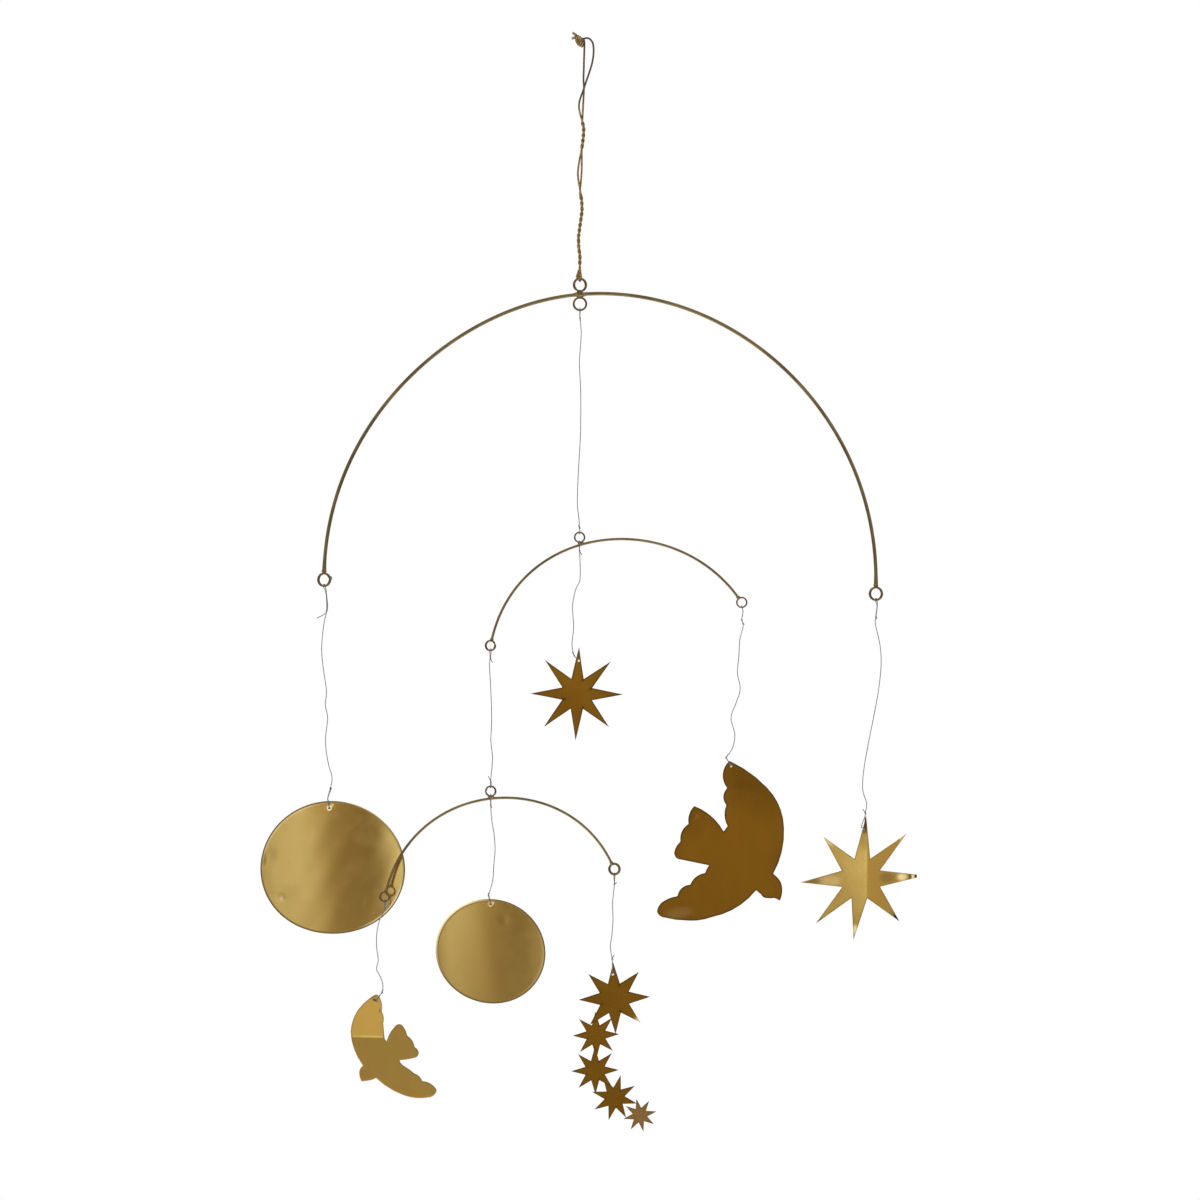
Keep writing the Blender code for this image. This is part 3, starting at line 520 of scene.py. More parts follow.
class Look(Enum):
    """Every finish of the mobile."""

    DISC = MetalFinish(
        "disc_brass", (0.80, 0.47, 0.105), (0.66, 0.36, 0.066), (0.05, 0.03, 0.01), 0.105,
        tarnish=0.35, specks=0.03, grain=0.010, cloud=9.0, seed=2.0)
    SMALL_DISC = MetalFinish(
        "small_disc_brass", (0.77, 0.44, 0.095), (0.62, 0.345, 0.064), (0.06, 0.035, 0.012), 0.09,
        tarnish=0.3, specks=0.03, grain=0.008, cloud=10.0, seed=5.0)
    BRIGHT = MetalFinish(
        "bright_brass", (0.86, 0.48, 0.09), (0.70, 0.37, 0.06), (0.05, 0.028, 0.01), 0.11,
        tarnish=0.35, specks=0.03, grain=0.012, cloud=16.0, seed=8.0)
    # Brass darkened for the large bird, the centre star and the chain: partly their browner tone, partly
    # painted shade for the darker reflections that these pieces show.
    DARK = MetalFinish(
        "dark_brass", (0.42, 0.178, 0.0145), (0.30, 0.122, 0.010), (0.035, 0.017, 0.003), 0.2,
        tarnish=0.8, specks=0.04, grain=0.025, cloud=14.0, seed=11.0)
    ARM = MetalFinish(
        "arm_wire_brass", (0.32, 0.21, 0.08), (0.15, 0.10, 0.042), (0.10, 0.065, 0.025), 0.24,
        tarnish=0.7, specks=0.25, grain=0.05, cloud=45.0, fineness=900.0, length=700.0, seed=14.0)
    RING = MetalFinish(
        "ring_bronze", (0.25, 0.15, 0.06), (0.13, 0.08, 0.035), (0.05, 0.035, 0.02), 0.30,
        tarnish=0.8, specks=0.3, grain=0.06, cloud=300.0, length=900.0, seed=17.0)
    BRAZE = MetalFinish(
        "brazed_joint", (0.44, 0.28, 0.09), (0.18, 0.11, 0.04), (0.07, 0.04, 0.02), 0.36,
        tarnish=0.9, specks=0.8, grain=0.5, fineness=1500.0, length=1500.0, cloud=600.0, seed=20.0)
    GREY_BRAZE = MetalFinish(
        "grey_joint", (0.34, 0.33, 0.26), (0.20, 0.19, 0.15), (0.07, 0.06, 0.05), 0.42,
        tarnish=0.8, specks=0.5, grain=0.3, fineness=1500.0, length=1500.0, cloud=600.0, seed=23.0)
    THREAD = YarnFinish(
        "grey_thread", (0.15, 0.145, 0.15), (0.085, 0.08, 0.085), (0.35, 0.35, 0.35), 0.10, 0.6, 0.0,
        fineness=2500.0, seed=1.0)
    # Half as bright as the thread: painted shade between the wraps of the knots.
    THREAD_KNOT = YarnFinish(
        "grey_thread_knot", (0.075, 0.07, 0.07), (0.035, 0.03, 0.03), (0.2, 0.2, 0.2), 0.08, 0.6, 0.0,
        fineness=2500.0, seed=4.0)
    CORD = YarnFinish(
        "gold_yarn", (0.20, 0.105, 0.022), (0.055, 0.026, 0.008), (0.62, 0.40, 0.10), 0.42, 0.6, 0.9,
        fineness=1600.0, seed=3.0, dull_band=(-0.05, -0.03))
    KNOT = YarnFinish(
        "gold_yarn_knot", (0.19, 0.11, 0.018), (0.045, 0.022, 0.006), (0.68, 0.46, 0.12), 0.5, 0.55,
        0.9, fineness=1500.0, seed=6.0)
    FRAYED = YarnFinish(
        "frayed_yarn", (0.20, 0.16, 0.085), (0.075, 0.055, 0.03), (0.58, 0.48, 0.26), 0.35, 0.7, 0.5,
        fineness=1900.0, seed=9.0)


# ---- geometry recipes ----


class Recipe:
    """A Geometry Nodes tree that is applied to base meshes."""

    def __init__(self, name: str, inputs: dict[str, object], fill: Callable) -> None:
        """Build the tree.

        Args:
            name: Name of the tree.
            inputs: Its inputs between Geometry and Material, with their defaults.
            fill: Adds the nodes, and returns the finished shape's socket.
        """
        every = {"Geometry": None, **inputs, "Material": None}
        self.tree, nodes, given, made = new_group(name, "GeometryNodeTree", every, ("Geometry",))
        real = nodes.out("GeometryNodeRealizeInstances", {"Geometry": fill(nodes, given)})
        painted = {"Geometry": real, "Material": given["Material"]}
        nodes.join(nodes.out("GeometryNodeSetMaterial", painted), made["Geometry"])
        sockets = [s for s in self.tree.interface.items_tree if s.item_type == "SOCKET"]
        self.keys = {socket.name: socket.identifier for socket in sockets if socket.in_out == "INPUT"}

    def make(self, name: str, base: Mesh, material: Material, values: dict[str, object]) -> Piece:
        """Run the tree on a base mesh and keep the result as a plain mesh.

        Args:
            name: Name of the new piece.
            base: Mesh that the tree starts from.
            material: The piece's material.
            values: Input name to its value.

        Returns:
            The new piece, linked to the scene, with no modifier left.
        """
        item = new_object(name, base)
        modifier = item.modifiers.new("recipe", "NODES")
        modifier.node_group = self.tree
        for label, value in {**values, "Material": material}.items():
            modifier[self.keys[label]] = value
        graph = bpy.context.evaluated_depsgraph_get()
        mesh = bpy.data.meshes.new_from_object(item.evaluated_get(graph), depsgraph=graph)
        item.modifiers.clear()
        item.data = mesh
        mesh.name = name
        return item


def drawn_wire(nodes: Nodes, given: object) -> Socket:
    """Round wire along a path, drawn thinner or thicker towards its ends.

    Args:
        nodes: The tree's nodes.
        given: Geometry, Wire Radius, Sides, End Share and End Length (metres).

    Returns:
        The wire's socket.
    """
    line = nodes.out("GeometryNodeMeshToCurve", {"Mesh": given["Geometry"]})
    along = nodes.add("GeometryNodeSplineParameter").outputs["Length"]
    whole = nodes.add("GeometryNodeSplineLength").outputs["Length"]
    near = nodes.math("MINIMUM", along, nodes.math("SUBTRACT", whole, along))
    share = nodes.ranged(near, 0.0, given["End Length"], given["End Share"], 1.0)
    return nodes.tube(line, given["Wire Radius"], given["Sides"], Scale=share)


def plied_cord(nodes: Nodes, given: object) -> Socket:
    """Several plies twisted round one another along a path.

    Args:
        nodes: The tree's nodes.
        given: Geometry, Plies, Ply Radius, Ply Offset, Pitch (metres) and Sides.

    Returns:
        The cord's socket.
    """
    line = nodes.out("GeometryNodeMeshToCurve", {"Mesh": given["Geometry"]})
    step = nodes.math("DIVIDE", given["Pitch"], 8.0)
    even = nodes.out("GeometryNodeResampleCurve", {"Curve": line, "Length": step}, mode="LENGTH")
    copies = {"Geometry": even, "Amount": given["Plies"]}
    plies = nodes.add("GeometryNodeDuplicateElements", copies, domain="SPLINE").outputs
    along = nodes.add("GeometryNodeSplineParameter").outputs["Length"]
    turns = nodes.math("DIVIDE", along, given["Pitch"])
    phase = nodes.math("DIVIDE", plies["Duplicate Index"], given["Plies"])
    angle = nodes.math("MULTIPLY", nodes.math("ADD", turns, phase), 2.0 * pi)
    normal = nodes.out("GeometryNodeInputNormal")
    tangent = nodes.out("GeometryNodeInputTangent")
    spin = {"Vector": normal, "Axis": tangent, "Angle": angle}
    turned = nodes.out("ShaderNodeVectorRotate", spin, rotation_type="AXIS_ANGLE")
    laid = nodes.moved(plies["Geometry"], nodes.scaled(turned, given["Ply Offset"]))
    return nodes.tube(laid, given["Ply Radius"], given["Sides"])


def thread_knots(nodes: Nodes, given: object) -> Socket:
    """Small barrel knots on points, each turned along the thread that it closes.

    Args:
        nodes: The tree's nodes.
        given: Geometry, Wraps, Knot Radius, Knot Length, Strand Radius (metres) and Seed.

    Returns:
        The knots' socket.
    """
    radius, length = given["Knot Radius"], given["Knot Length"]
    spiral = nodes.out("GeometryNodeCurveSpiral", {
        "Resolution": 14, "Rotations": given["Wraps"], "Start Radius": radius,
        "End Radius": nodes.math("MULTIPLY", radius, 0.8), "Height": length})
    down = nodes.lift(nodes.math("MULTIPLY", length, -0.5))
    centred = nodes.out("GeometryNodeTransform", {"Geometry": spiral, "Translation": down})
    wraps = nodes.tube(centred, given["Strand Radius"], 7)
    way = nodes.out("GeometryNodeInputNamedAttribute", {"Name": "way"}, data_type="FLOAT_VECTOR")
    turn = nodes.out("FunctionNodeAlignRotationToVector", {"Vector": way}, axis="Z")
    draw = {2: 0.85, 3: 1.2, "Seed": given["Seed"]}
    size = nodes.add("FunctionNodeRandomValue", draw, data_type="FLOAT").outputs[1]
    return nodes.out("GeometryNodeInstanceOnPoints", {
        "Points": given["Geometry"], "Instance": wraps, "Rotation": turn, "Scale": size})


def braze_lump(nodes: Nodes, given: object) -> Socket:
    """A base shape with its surface swollen unevenly, as solder or braze sets.

    Args:
        nodes: The tree's nodes.
        given: Geometry, Swell (metres), Fineness (per metre) and Seed.

    Returns:
        The lump's socket.
    """
    uneven = nodes.noise(given["Seed"], given["Fineness"], 2.0)
    height = nodes.math("MULTIPLY", nodes.math("SUBTRACT", uneven, 0.5), given["Swell"])
    normal = nodes.out("GeometryNodeInputNormal")
    return nodes.moved(given["Geometry"], nodes.scaled(normal, height))


def star_sheet(nodes: Nodes, given: object) -> Socket:
    """An even star cut from sheet, lying in the XY plane, slightly dished, with a hole.

    Args:
        nodes: The tree's nodes.
        given: Rays, Outer Radius, Inner Radius, Gauge, Dish (metres), Hole Radius
            and Hole Place.

    Returns:
        The star's socket.
    """
    star = nodes.out("GeometryNodeCurveStar", {
        "Points": given["Rays"], "Inner Radius": given["Inner Radius"],
        "Outer Radius": given["Outer Radius"]})
    round_hole = {"Resolution": 20, "Radius": given["Hole Radius"]}
    hole = nodes.out("GeometryNodeCurvePrimitiveCircle", round_hole)
    moved = nodes.out("GeometryNodeTransform", {"Geometry": hole, "Translation": given["Hole Place"]})
    wanted = {"Switch": nodes.math("GREATER_THAN", given["Hole Radius"], 0.0), "True": moved}
    cut = nodes.out("GeometryNodeSwitch", wanted, input_type="GEOMETRY")
    flat = nodes.out("GeometryNodeFillCurve", {"Curve": nodes.together(star, cut)})
    fine = nodes.out("GeometryNodeSubdivideMesh", {"Mesh": flat, "Level": 3})
    place = nodes.out("GeometryNodeInputPosition")
    reach = nodes.add("ShaderNodeVectorMath", {0: place}, operation="LENGTH").outputs["Value"]
    share = nodes.math("POWER", nodes.math("DIVIDE", reach, given["Outer Radius"]), 2.0)
    dished = nodes.moved(fine, nodes.lift(nodes.math("MULTIPLY", share, given["Dish"])))
    thick = nodes.out("GeometryNodeExtrudeMesh", {
        "Mesh": dished, "Offset": (0.0, 0.0, 1.0), "Offset Scale": given["Gauge"],
        "Individual": False})
    shell = nodes.together(thick, nodes.out("GeometryNodeFlipFaces", {"Mesh": dished}))
    return nodes.out("GeometryNodeMergeByDistance", {"Geometry": shell, "Distance": 0.001 * MM})


# ---- workshop: what every sub-assembly needs ----


class Workshop:
    """Materials, recipes and the steps that end every piece."""

    def __init__(self) -> None:
        """Make the materials and the recipes, with sizes in metres."""
        effects = Effects()
        self.materials = {look: look.value.material(effects) for look in Look}
        self.wire = Recipe("drawn_wire", {
            "Wire Radius": 0.001, "Sides": 14, "End Share": 1.0, "End Length": 0.001}, drawn_wire)
        self.cord = Recipe("plied_cord", {
            "Plies": 3, "Ply Radius": 0.0003, "Ply Offset": 0.0002, "Pitch": 0.003, "Sides": 6}, plied_cord)
        self.knots = Recipe("thread_knots", {
            "Wraps": 3.0, "Knot Radius": 0.0004, "Knot Length": 0.0012, "Strand Radius": 0.0002,
            "Seed": 0}, thread_knots)
        self.lump = Recipe("braze_lump", {"Swell": 0.0003, "Fineness": 500.0, "Seed": 0.0}, braze_lump)
        self.star = Recipe("star_sheet", {
            "Rays": 8, "Outer Radius": 0.02, "Inner Radius": 0.01, "Gauge": 0.0004, "Dish": 0.0002,
            "Hole Radius": 0.0007, "Hole Place": None}, star_sheet)

    def draw(self, name: str, line: Route, radius: float, sides: int, end: Point, look: Look) -> Piece:
        """Draw a wire along a line.

        Args:
            name: Name of the piece.
            line: The wire's middle.
            radius: Its radius.
            sides: Sides of its section.
            end: Share of the radius at its ends, and how far in that reaches.
            look: Its finish.

        Returns:
            The wire as a mesh.
        """
        values = {"Wire Radius": radius * MM, "Sides": sides,
                  "End Share": end[0], "End Length": end[1] * MM}
        return self.wire.make(name, path_mesh(line), self.materials[look], values)

    def lay(self, name: str, line: Route, look: Look, plies: dict[str, float]) -> Piece:
        """Lay a cord or thread along a line, from plies whose sizes are in metres."""
        return self.cord.make(name, path_mesh(line), self.materials[look], plies)

    def hand_over(self, piece: Piece, slot: Slot, *nodes: str, smooth_below: float = 180.0) -> Piece:
        """Shade a finished piece, set it on the body and let it stand for its solids.

        Args:
            piece: The finished piece, at the origin, unturned and unscaled.
            slot: Material slot of the record; not used.
            *nodes: Solids that the piece replaces.
            smooth_below: Edges that turn more than this many degrees stay sharp.

        Returns:
            The same piece.
        """
        piece.data.shade_smooth()
        if smooth_below < 180.0:
            piece.data.set_sharp_from_angle(angle=radians(smooth_below))
        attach(piece, "root")
        if nodes:
            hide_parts(*nodes)
        triangles = sum(len(face.vertices) - 2 for face in piece.data.polygons)
        LOG.info("%s: %d triangles", piece.name, triangles)
        return piece


def path_mesh(points: Route) -> Mesh:
    """Edges through points.

    Args:
        points: Places in millimetres.

    Returns:
        A mesh in metres with one edge between each two neighbours.
    """
    mesh = bpy.data.meshes.new("path")
    edges = [(i, i + 1) for i in range(len(points) - 1)]
    mesh.from_pydata([tuple(point * MM) for point in points], edges, [])
    return mesh


def smooth_route(route: Route, piece: float) -> list[Vector]:
    """Catmull-Rom curve through a route.

    Args:
        route: Points that the curve goes through.
        piece: Longest straight piece that it is read in.

    Returns:
        The curve's points.
    """
    padded = [2 * route[0] - route[1], *route, 2 * route[-1] - route[-2]]
    points = []
    for before, start, end, after in zip(padded, padded[1:], padded[2:], padded[3:]):
        steps = max(1, round((end - start).length / piece))
        for step in range(steps):
            share = step / steps
            line = 2 * start + (end - before) * share
            bend = (2 * before - 5 * start + 4 * end - after) * share**2
            twist = (3 * start - before - 3 * end + after) * share**3
            points.append((line + bend + twist) / 2)
    points.append(route[-1])
    return points


def upright(x: float, z: float) -> Vector:
    """Place in the plane of the arms, or in a hanger's own upright plane."""
    return Vector((x, 0.0, z))


@dataclass
class Hanger:
    """An upright line that a piece hangs on, turned about it."""

    place: Vector
    yaw: float = 0.0

    @property
    def turn(self) -> Matrix:
        """Rotation of the hanger."""
        return Matrix.Rotation(radians(self.yaw), 3, "Z")

    @property
    def across(self) -> Vector:
        """Unit vector from the front of what hangs here to its back."""
        return self.turn @ Vector((0.0, 1.0, 0.0))

    def world(self, point: Vector) -> Vector:
        """A local point in the mobile's frame."""
        return self.place + self.turn @ point

    def settle(self, piece: Piece, first: Matrix = Matrix()) -> None:
        """Move a mesh, in metres, to the mobile's frame, after a first turn and shift."""
        piece.data.transform(Matrix.Translation(self.place * MM) @ self.turn.to_4x4() @ first)
        piece.data.update()


def middle_of(node: str) -> Vector:
    """Centre of a solid's box, in millimetres."""
    low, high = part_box(node)
    return (low + high) / (2.0 * MM)


# ---- rings ----


TOP_WINDING = (4.5, 0.65, 1.2)  # outer radius, then half the thickness and half the depth
SIDE_WINDING = (3.55, 0.55, 1.05)


def half_turn(middle: Vector, size: Point, side: Vector, way: Vector) -> list[Vector]:
    """Points of half an ellipse of (half width, height) that starts to one side, crest to way."""
    turns = [pi * step / 4 for step in range(5)]
    return [middle + side * cos(a) * size[0] + way * sin(a) * size[1] for a in turns]


@dataclass
class Ring:
    """A ring wound from two flat turns of wire, and how a thread goes round it."""

    name: str
    size: Triple  # outer radius, then half the thickness and half the depth
    yaw: float
    start: float  # degrees from the ring's side to the cut end
    wire: float = 0.5  # radius
    turns: float = 1.95
    crossing: float = 70.0  # degrees in which the wire steps to its second turn
    points: int = 110
    play: float = 0.05  # room between the winding and a thread round it

    def __post_init__(self) -> None:
        """Find the ring's centre from its solid."""
        self.centre = middle_of(self.name)
        self.outer, self.thickness, self.depth = self.size
        self.stand = Hanger(self.centre, self.yaw)
        self.across = self.stand.across

    @property
    def foot(self) -> Vector:
        """Middle of the winding at the ring's lowest place."""
        return self.centre - UP * (self.outer - self.thickness)

    @property
    def top(self) -> Vector:
        """Middle of the winding at the ring's highest place."""
        return self.centre + UP * (self.outer - self.thickness)

    def turn_size(self, radius: float) -> Point:
        """Half the width and the height of a thread's or cord's turn, from its own radius."""
        clearance = STOCK.gap + radius
        return self.depth + clearance + self.play, self.thickness + clearance

    def coil(self) -> list[Vector]:
        """Points of the wound wire, from the cut end at start round to the other.

        Returns:
            The points.
        """
        radius = self.outer - self.wire
        side = self.depth - self.wire
        line = []
        for i in range(self.points + 1):
            share = i / self.points
            angle = radians(self.start) + share * self.turns * 2.0 * pi
            step = min(max((share - 0.5) * self.turns * 360.0 / self.crossing + 0.5, 0.0), 1.0)
            depth = side * (2.0 * step * step * (3.0 - 2.0 * step) - 1.0)
            line.append(self.stand.world(
                Vector((cos(angle) * radius, depth, sin(angle) * radius))))
        return line

    def build(self, shop: Workshop) -> None:
        """Make the ring."""
        piece = shop.draw(self.name + "_coil", self.coil(), self.wire, 12, (0.75, 0.6), Look.RING)
        shop.hand_over(piece, Slot.RING, self.name, smooth_below=60.0)


# ---- arms ----


def ring_set(arm: str, sizes: dict[str, tuple]) -> dict[str, Ring]:
    """Rings of an arm, from what follows each one's name: size, yaw, start and wire."""
    return {label: Ring(f"{arm}_{label}_ring", *values) for label, values in sizes.items()}


@dataclass
class TopArm:
    """The widest arm: half an ellipse of wire with hand-bent shoulders and four rings."""

    centre: Vector = field(default_factory=lambda: Vector((7.75, 0.0, -334.8)))
    half_span: float = 171.1
    rise: float = 177.6
    left_turn: float = 178.4  # degrees round the ellipse from its right end
    right_turn: float = -1.2
    hang_turn: float = 94.16
    left_sag: float = 2.7
    right_sag: float = 1.2
    segments: int = 150
    end: Point = (1.22, 9.0)
    crown: tuple[Triple, Triple] = ((4.3, 1.7, 1.7), (1.9, 1.4, 2.9))
    foot: tuple[Triple, Triple] = ((1.4, 1.3, 1.9), (1.7, 1.1, 0.6))
    foot_rise: float = 0.9  # from the ring's outside to the middle of its braze
    lump: tuple[Triple, Triple] = ((0.8, 1.1, 1.5), (0.8, 0.9, 0.8))
    lump_place: Triple = (4.1, -0.4, 0.9)

    def __post_init__(self) -> None:
        """Describe the four rings."""
        self.rings = ring_set("top_arm", {
            "hanging": (TOP_WINDING, 20.0, 250.0, 0.6), "lower": (TOP_WINDING, 6.0, 70.0, 0.6),
            "left": (TOP_WINDING, -20.0, 20.0, 0.6), "right": (TOP_WINDING, -25.0, 110.0, 0.6)})

    def point(self, turn: float) -> Vector:
        """Point of the arm at a turn in degrees from its right end.

        Args:
            turn: The turn.

        Returns:
            The point, in the mobile's frame.
        """
        angle = radians(turn)
        sag = self.left_sag if turn > 90.0 else self.right_sag
        height = self.rise * sin(angle) - sag * sin(2.0 * angle) ** 2
        return self.centre + Vector((self.half_span * cos(angle), 0.0, height))

    def build(self, shop: Workshop) -> None:
        """Make the wire, its rings and the braze that joins them.

        Args:
            shop: Materials and recipes.
        """
        sweep = self.right_turn - self.left_turn
        shares = [i / self.segments for i in range(self.segments + 1)]
        line = [self.point(self.left_turn + sweep * share) for share in shares]
        piece = shop.draw("top_arm_wire", line, STOCK.top_wire, 18, self.end, Look.ARM)
        shop.hand_over(piece, Slot.ARM, "top_arm", smooth_below=60.0)
        for ring in self.rings.values():
            ring.build(shop)
        crown = self.point(self.hang_turn)
        Braze("top_arm_crown_braze", crown, *self.crown, 0.0, 3.0, swell=0.0013).build(shop)
        for label in ("left", "right"):
            place = self.rings[label].centre + UP * (self.rings[label].outer + self.foot_rise)
            Braze(f"top_arm_{label}_braze", place, *self.foot, 0.0, 7.0).build(shop)
        place = self.rings["left"].centre + Vector(self.lump_place)
        Braze("top_arm_left_lump", place, *self.lump, -20.0, 8.0, look=Look.GREY_BRAZE).build(shop)


@dataclass
class SideArm:
    """A smaller arm: one Bezier of wire with a ring to hang by and one at each end."""

    name: str
    place: Vector
    yaw: float
    control: tuple[Point, Point, Point, Point]
    hang: float
    ring_sizes: dict[str, tuple]
    segments: int = 90
    end: Point = (0.9, 3.0)
    crown: tuple[Triple, Triple] = ((2.2, 1.1, 0.9), (0.9, 0.8, 0.9))
    foot: tuple[Triple, Triple] = ((1.2, 1.0, 1.2), (1.2, 0.8, 0.6))
    foot_gap: float = 0.35  # from a ring's outside to the middle of its braze

    def __post_init__(self) -> None:
        """Describe the three rings."""
        self.rings = ring_set(self.name, self.ring_sizes)

    def point(self, share: float) -> Vector:
        """Point of the arm at a share of its curve, in the mobile's frame.

        Args:
            share: Share of the curve, from 0 at its left end to 1.

        Returns:
            The point.
        """
        rest = 1.0 - share
        weights = (rest**3, 3 * rest**2 * share, 3 * rest * share**2, share**3)
        local = sum((upright(*place) * w for place, w in zip(self.control, weights)), Vector())
        return Hanger(self.place, self.yaw).world(local)

    def build(self, shop: Workshop) -> None:
        """Make the wire, its rings and the braze that joins them.

        Args:
            shop: Materials and recipes.
        """
        line = [self.point(i / self.segments) for i in range(self.segments + 1)]
        piece = shop.draw(self.name + "_wire", line, STOCK.side_wire, 14, self.end, Look.ARM)
        shop.hand_over(piece, Slot.ARM, self.name, smooth_below=60.0)
        for ring in self.rings.values():
            ring.build(shop)
        crown = self.point(self.hang)
        foot = self.rings["hanging"].centre - crown
        place = crown + foot.normalized() * STOCK.side_wire
        Braze(self.name + "_crown_braze", place, *self.crown, self.yaw, 11.0).build(shop)
        for label, end in (("left", line[0]), ("right", line[-1])):
            ring = self.rings[label]
            way = (end - ring.centre).normalized()
            spot = ring.centre + way * (ring.outer + self.foot_gap)
            Braze(f"{self.name}_{label}_braze", spot, *self.foot, self.yaw, 13.0).build(shop)


@dataclass
class Braze:
    """The small uneven fillet that joins a ring to an arm."""

    name: str
    place: Vector
    along: Triple
    upright: Triple
    yaw: float
    seed: float
    swell: float = 0.0007  # metres
    look: Look = Look.BRAZE
    fineness: float = 900.0
    rings: int = 22
    sides: int = 28

    def build(self, shop: Workshop) -> None:
        """Make the lump: one swell along the wire and one towards the ring.

        Args:
            shop: Materials and recipes.
        """
        stand, sides = Hanger(self.place, self.yaw), self.sides
        corners, faces = [], []
        for i in range(self.rings + 1):
            polar = pi * i / self.rings
            for j in range(sides):
                around = 2.0 * pi * j / sides
                flat = sin(polar)
                way = Vector((flat * cos(around), flat * sin(around), cos(polar)))
                reach = max(self._reach(way, self.along), self._reach(way, self.upright))
                corners.append(tuple(stand.world(way * reach) * MM))
                if i < self.rings:
                    first, k = i * sides, (j + 1) % sides
                    faces.append((first + j, first + sides + j, first + sides + k, first + k))
        base = bpy.data.meshes.new(self.name)
        base.from_pydata(corners, [], faces)
        values = {"Swell": self.swell, "Fineness": self.fineness, "Seed": self.seed}
        piece = shop.lump.make(self.name, base, shop.materials[self.look], values)
        shop.hand_over(piece, Slot.ARM)

    @staticmethod
    def _reach(way: Vector, half: Triple) -> float:
        """Distance to an ellipsoid's surface in one direction."""
        return 1.0 / sqrt(sum((way[i] / half[i]) ** 2 for i in range(3)))


# ---- sheets ----


STRAIGHT_TURN = 0.000001  # an arc that turns less than this, in radians, is a straight side


def arc_outline(corners: Sequence[Triple], step: float) -> list[Vector]:
    """Outline through corners joined by arcs.

    Args:
        corners: (x, z, outward rise of the arc to the next corner).
        step: Degrees of turn for each side of an arc.

    Returns:
        The outline's points.
    """
    following = [*corners[1:], corners[0]]
    area = sum(a[0] * b[1] - b[0] * a[1] for a, b in zip(corners, following))
    side = 1.0 if area > 0.0 else -1.0
    outline = []
    for start, end in zip(corners, following):
        chord = Vector(end[:2]) - Vector(start[:2])
        outward = Vector((chord.y, -chord.x)).normalized() * side
        turn = 4.0 * atan2(2.0 * start[2], chord.length)
        steps = max(1, ceil(abs(degrees(turn)) / step))
        for i in range(steps):
            along = i / steps
            rise = 0.0
            if abs(turn) > STRAIGHT_TURN:
                radius = chord.length / (2.0 * sin(abs(turn) / 2.0))
                offset = (along - 0.5) * chord.length
                rise = copysign(sqrt(radius**2 - offset**2) - radius * cos(turn / 2.0), turn)
            outline.append(Vector(start[:2]) + chord * along + outward * rise)
    return outline


def eased(outline: Route, reach: float) -> list[Vector]:
    """The same outline with its corners worn round, as a file leaves them.

    Args:
        outline: Corners.
        reach: About how far from a corner the rounding starts.

    Returns:
        The rounded outline, in even steps.
    """
    corners = np.array([tuple(point) for point in [*outline, outline[0]]])
    along = np.concatenate([[0.0], np.cumsum(np.hypot(*np.diff(corners, axis=0).T))])
    count = int(along[-1] / (0.5 * reach))
    places = np.arange(count) * along[-1] / count
    even = np.stack([np.interp(places, along, corners[:, axis]) for axis in (0, 1)], axis=1)
    weights = zip(range(-2, 3), (1, 4, 6, 4, 1))
    soft = sum(np.roll(even, shift, axis=0) * weight for shift, weight in weights) / 16.0
    return [Vector(point) for point in soft.tolist()]


def star_outline(centre: Point, rays: Sequence[Point], inner: float) -> list[Vector]:
    """Outline of a star.

    Args:
        centre: Its middle.
        rays: (turn clockwise from upright in degrees, length) of each ray.
        inner: Distance of the notches from the middle.

    Returns:
        The outline's points.
    """
    outline = []
    for (turn, length), (next_turn, _) in zip(rays, [*rays[1:], rays[0]]):
        half = ((next_turn - turn) % 360.0) / 2.0
        for angle, radius in ((turn, length), (turn + half, inner)):
            heading = radians(angle)
            outline.append(Vector(centre) + Vector((sin(heading), cos(heading))) * radius)
    return outline


def distance_to(outline: Rows, points: Rows) -> Rows:
    """Distance from each point to the nearest side of an outline.

    Args:
        outline: Corners, one row each.
        points: Places, one row each.

    Returns:
        One distance for each point.
    """
    best = np.full(len(points), np.inf)
    for start, end in zip(outline, np.roll(outline, -1, axis=0)):
        side = end - start
        share = np.clip(((points - start) @ side) / max(float(side @ side), 1e-12), 0.0, 1.0)
        best = np.minimum(best, np.linalg.norm(points - start - share[:, None] * side, axis=1))
    return best


def inside(outline: Rows, points: Rows) -> Rows:
    """Whether each point is inside an outline.

    Args:
        outline: Corners, one row each.
        points: Places, one row each.

    Returns:
        One truth value for each point.
    """
    within = np.zeros(len(points), bool)
    for (x0, z0), (x1, z1) in zip(outline, np.roll(outline, -1, axis=0)):
        if z0 == z1:
            continue
        level = (points[:, 1] < z0) != (points[:, 1] < z1)
        cross = x0 + (points[:, 1] - z0) * (x1 - x0) / (z1 - z0)
        within ^= level & (points[:, 0] < cross)
    return within


@dataclass(frozen=True)
class PaintedPatch:
    """A painted patch: painted shade and dark reflections where strength is positive, and a painted
    highlight where it is negative.
    """

    x: float
    z: float
    strength: float
    length: float = 1.5
    width: float = 1.5
    turn: float = 0.0

    def cover(self, flat: Rows) -> Rows:
        """Strength of the mark at each place, with its sign.

        Args:
            flat: Places as (x, z) rows.

        Returns:
            One strength for each row.
        """
        across, rise = flat[:, 0] - self.x, flat[:, 1] - self.z
        turn = radians(self.turn)
        along = (across * cos(turn) + rise * sin(turn)) / self.length
        beside = (rise * cos(turn) - across * sin(turn)) / self.width
        return self.strength * np.exp(-((along**2 + beside**2) ** 2))


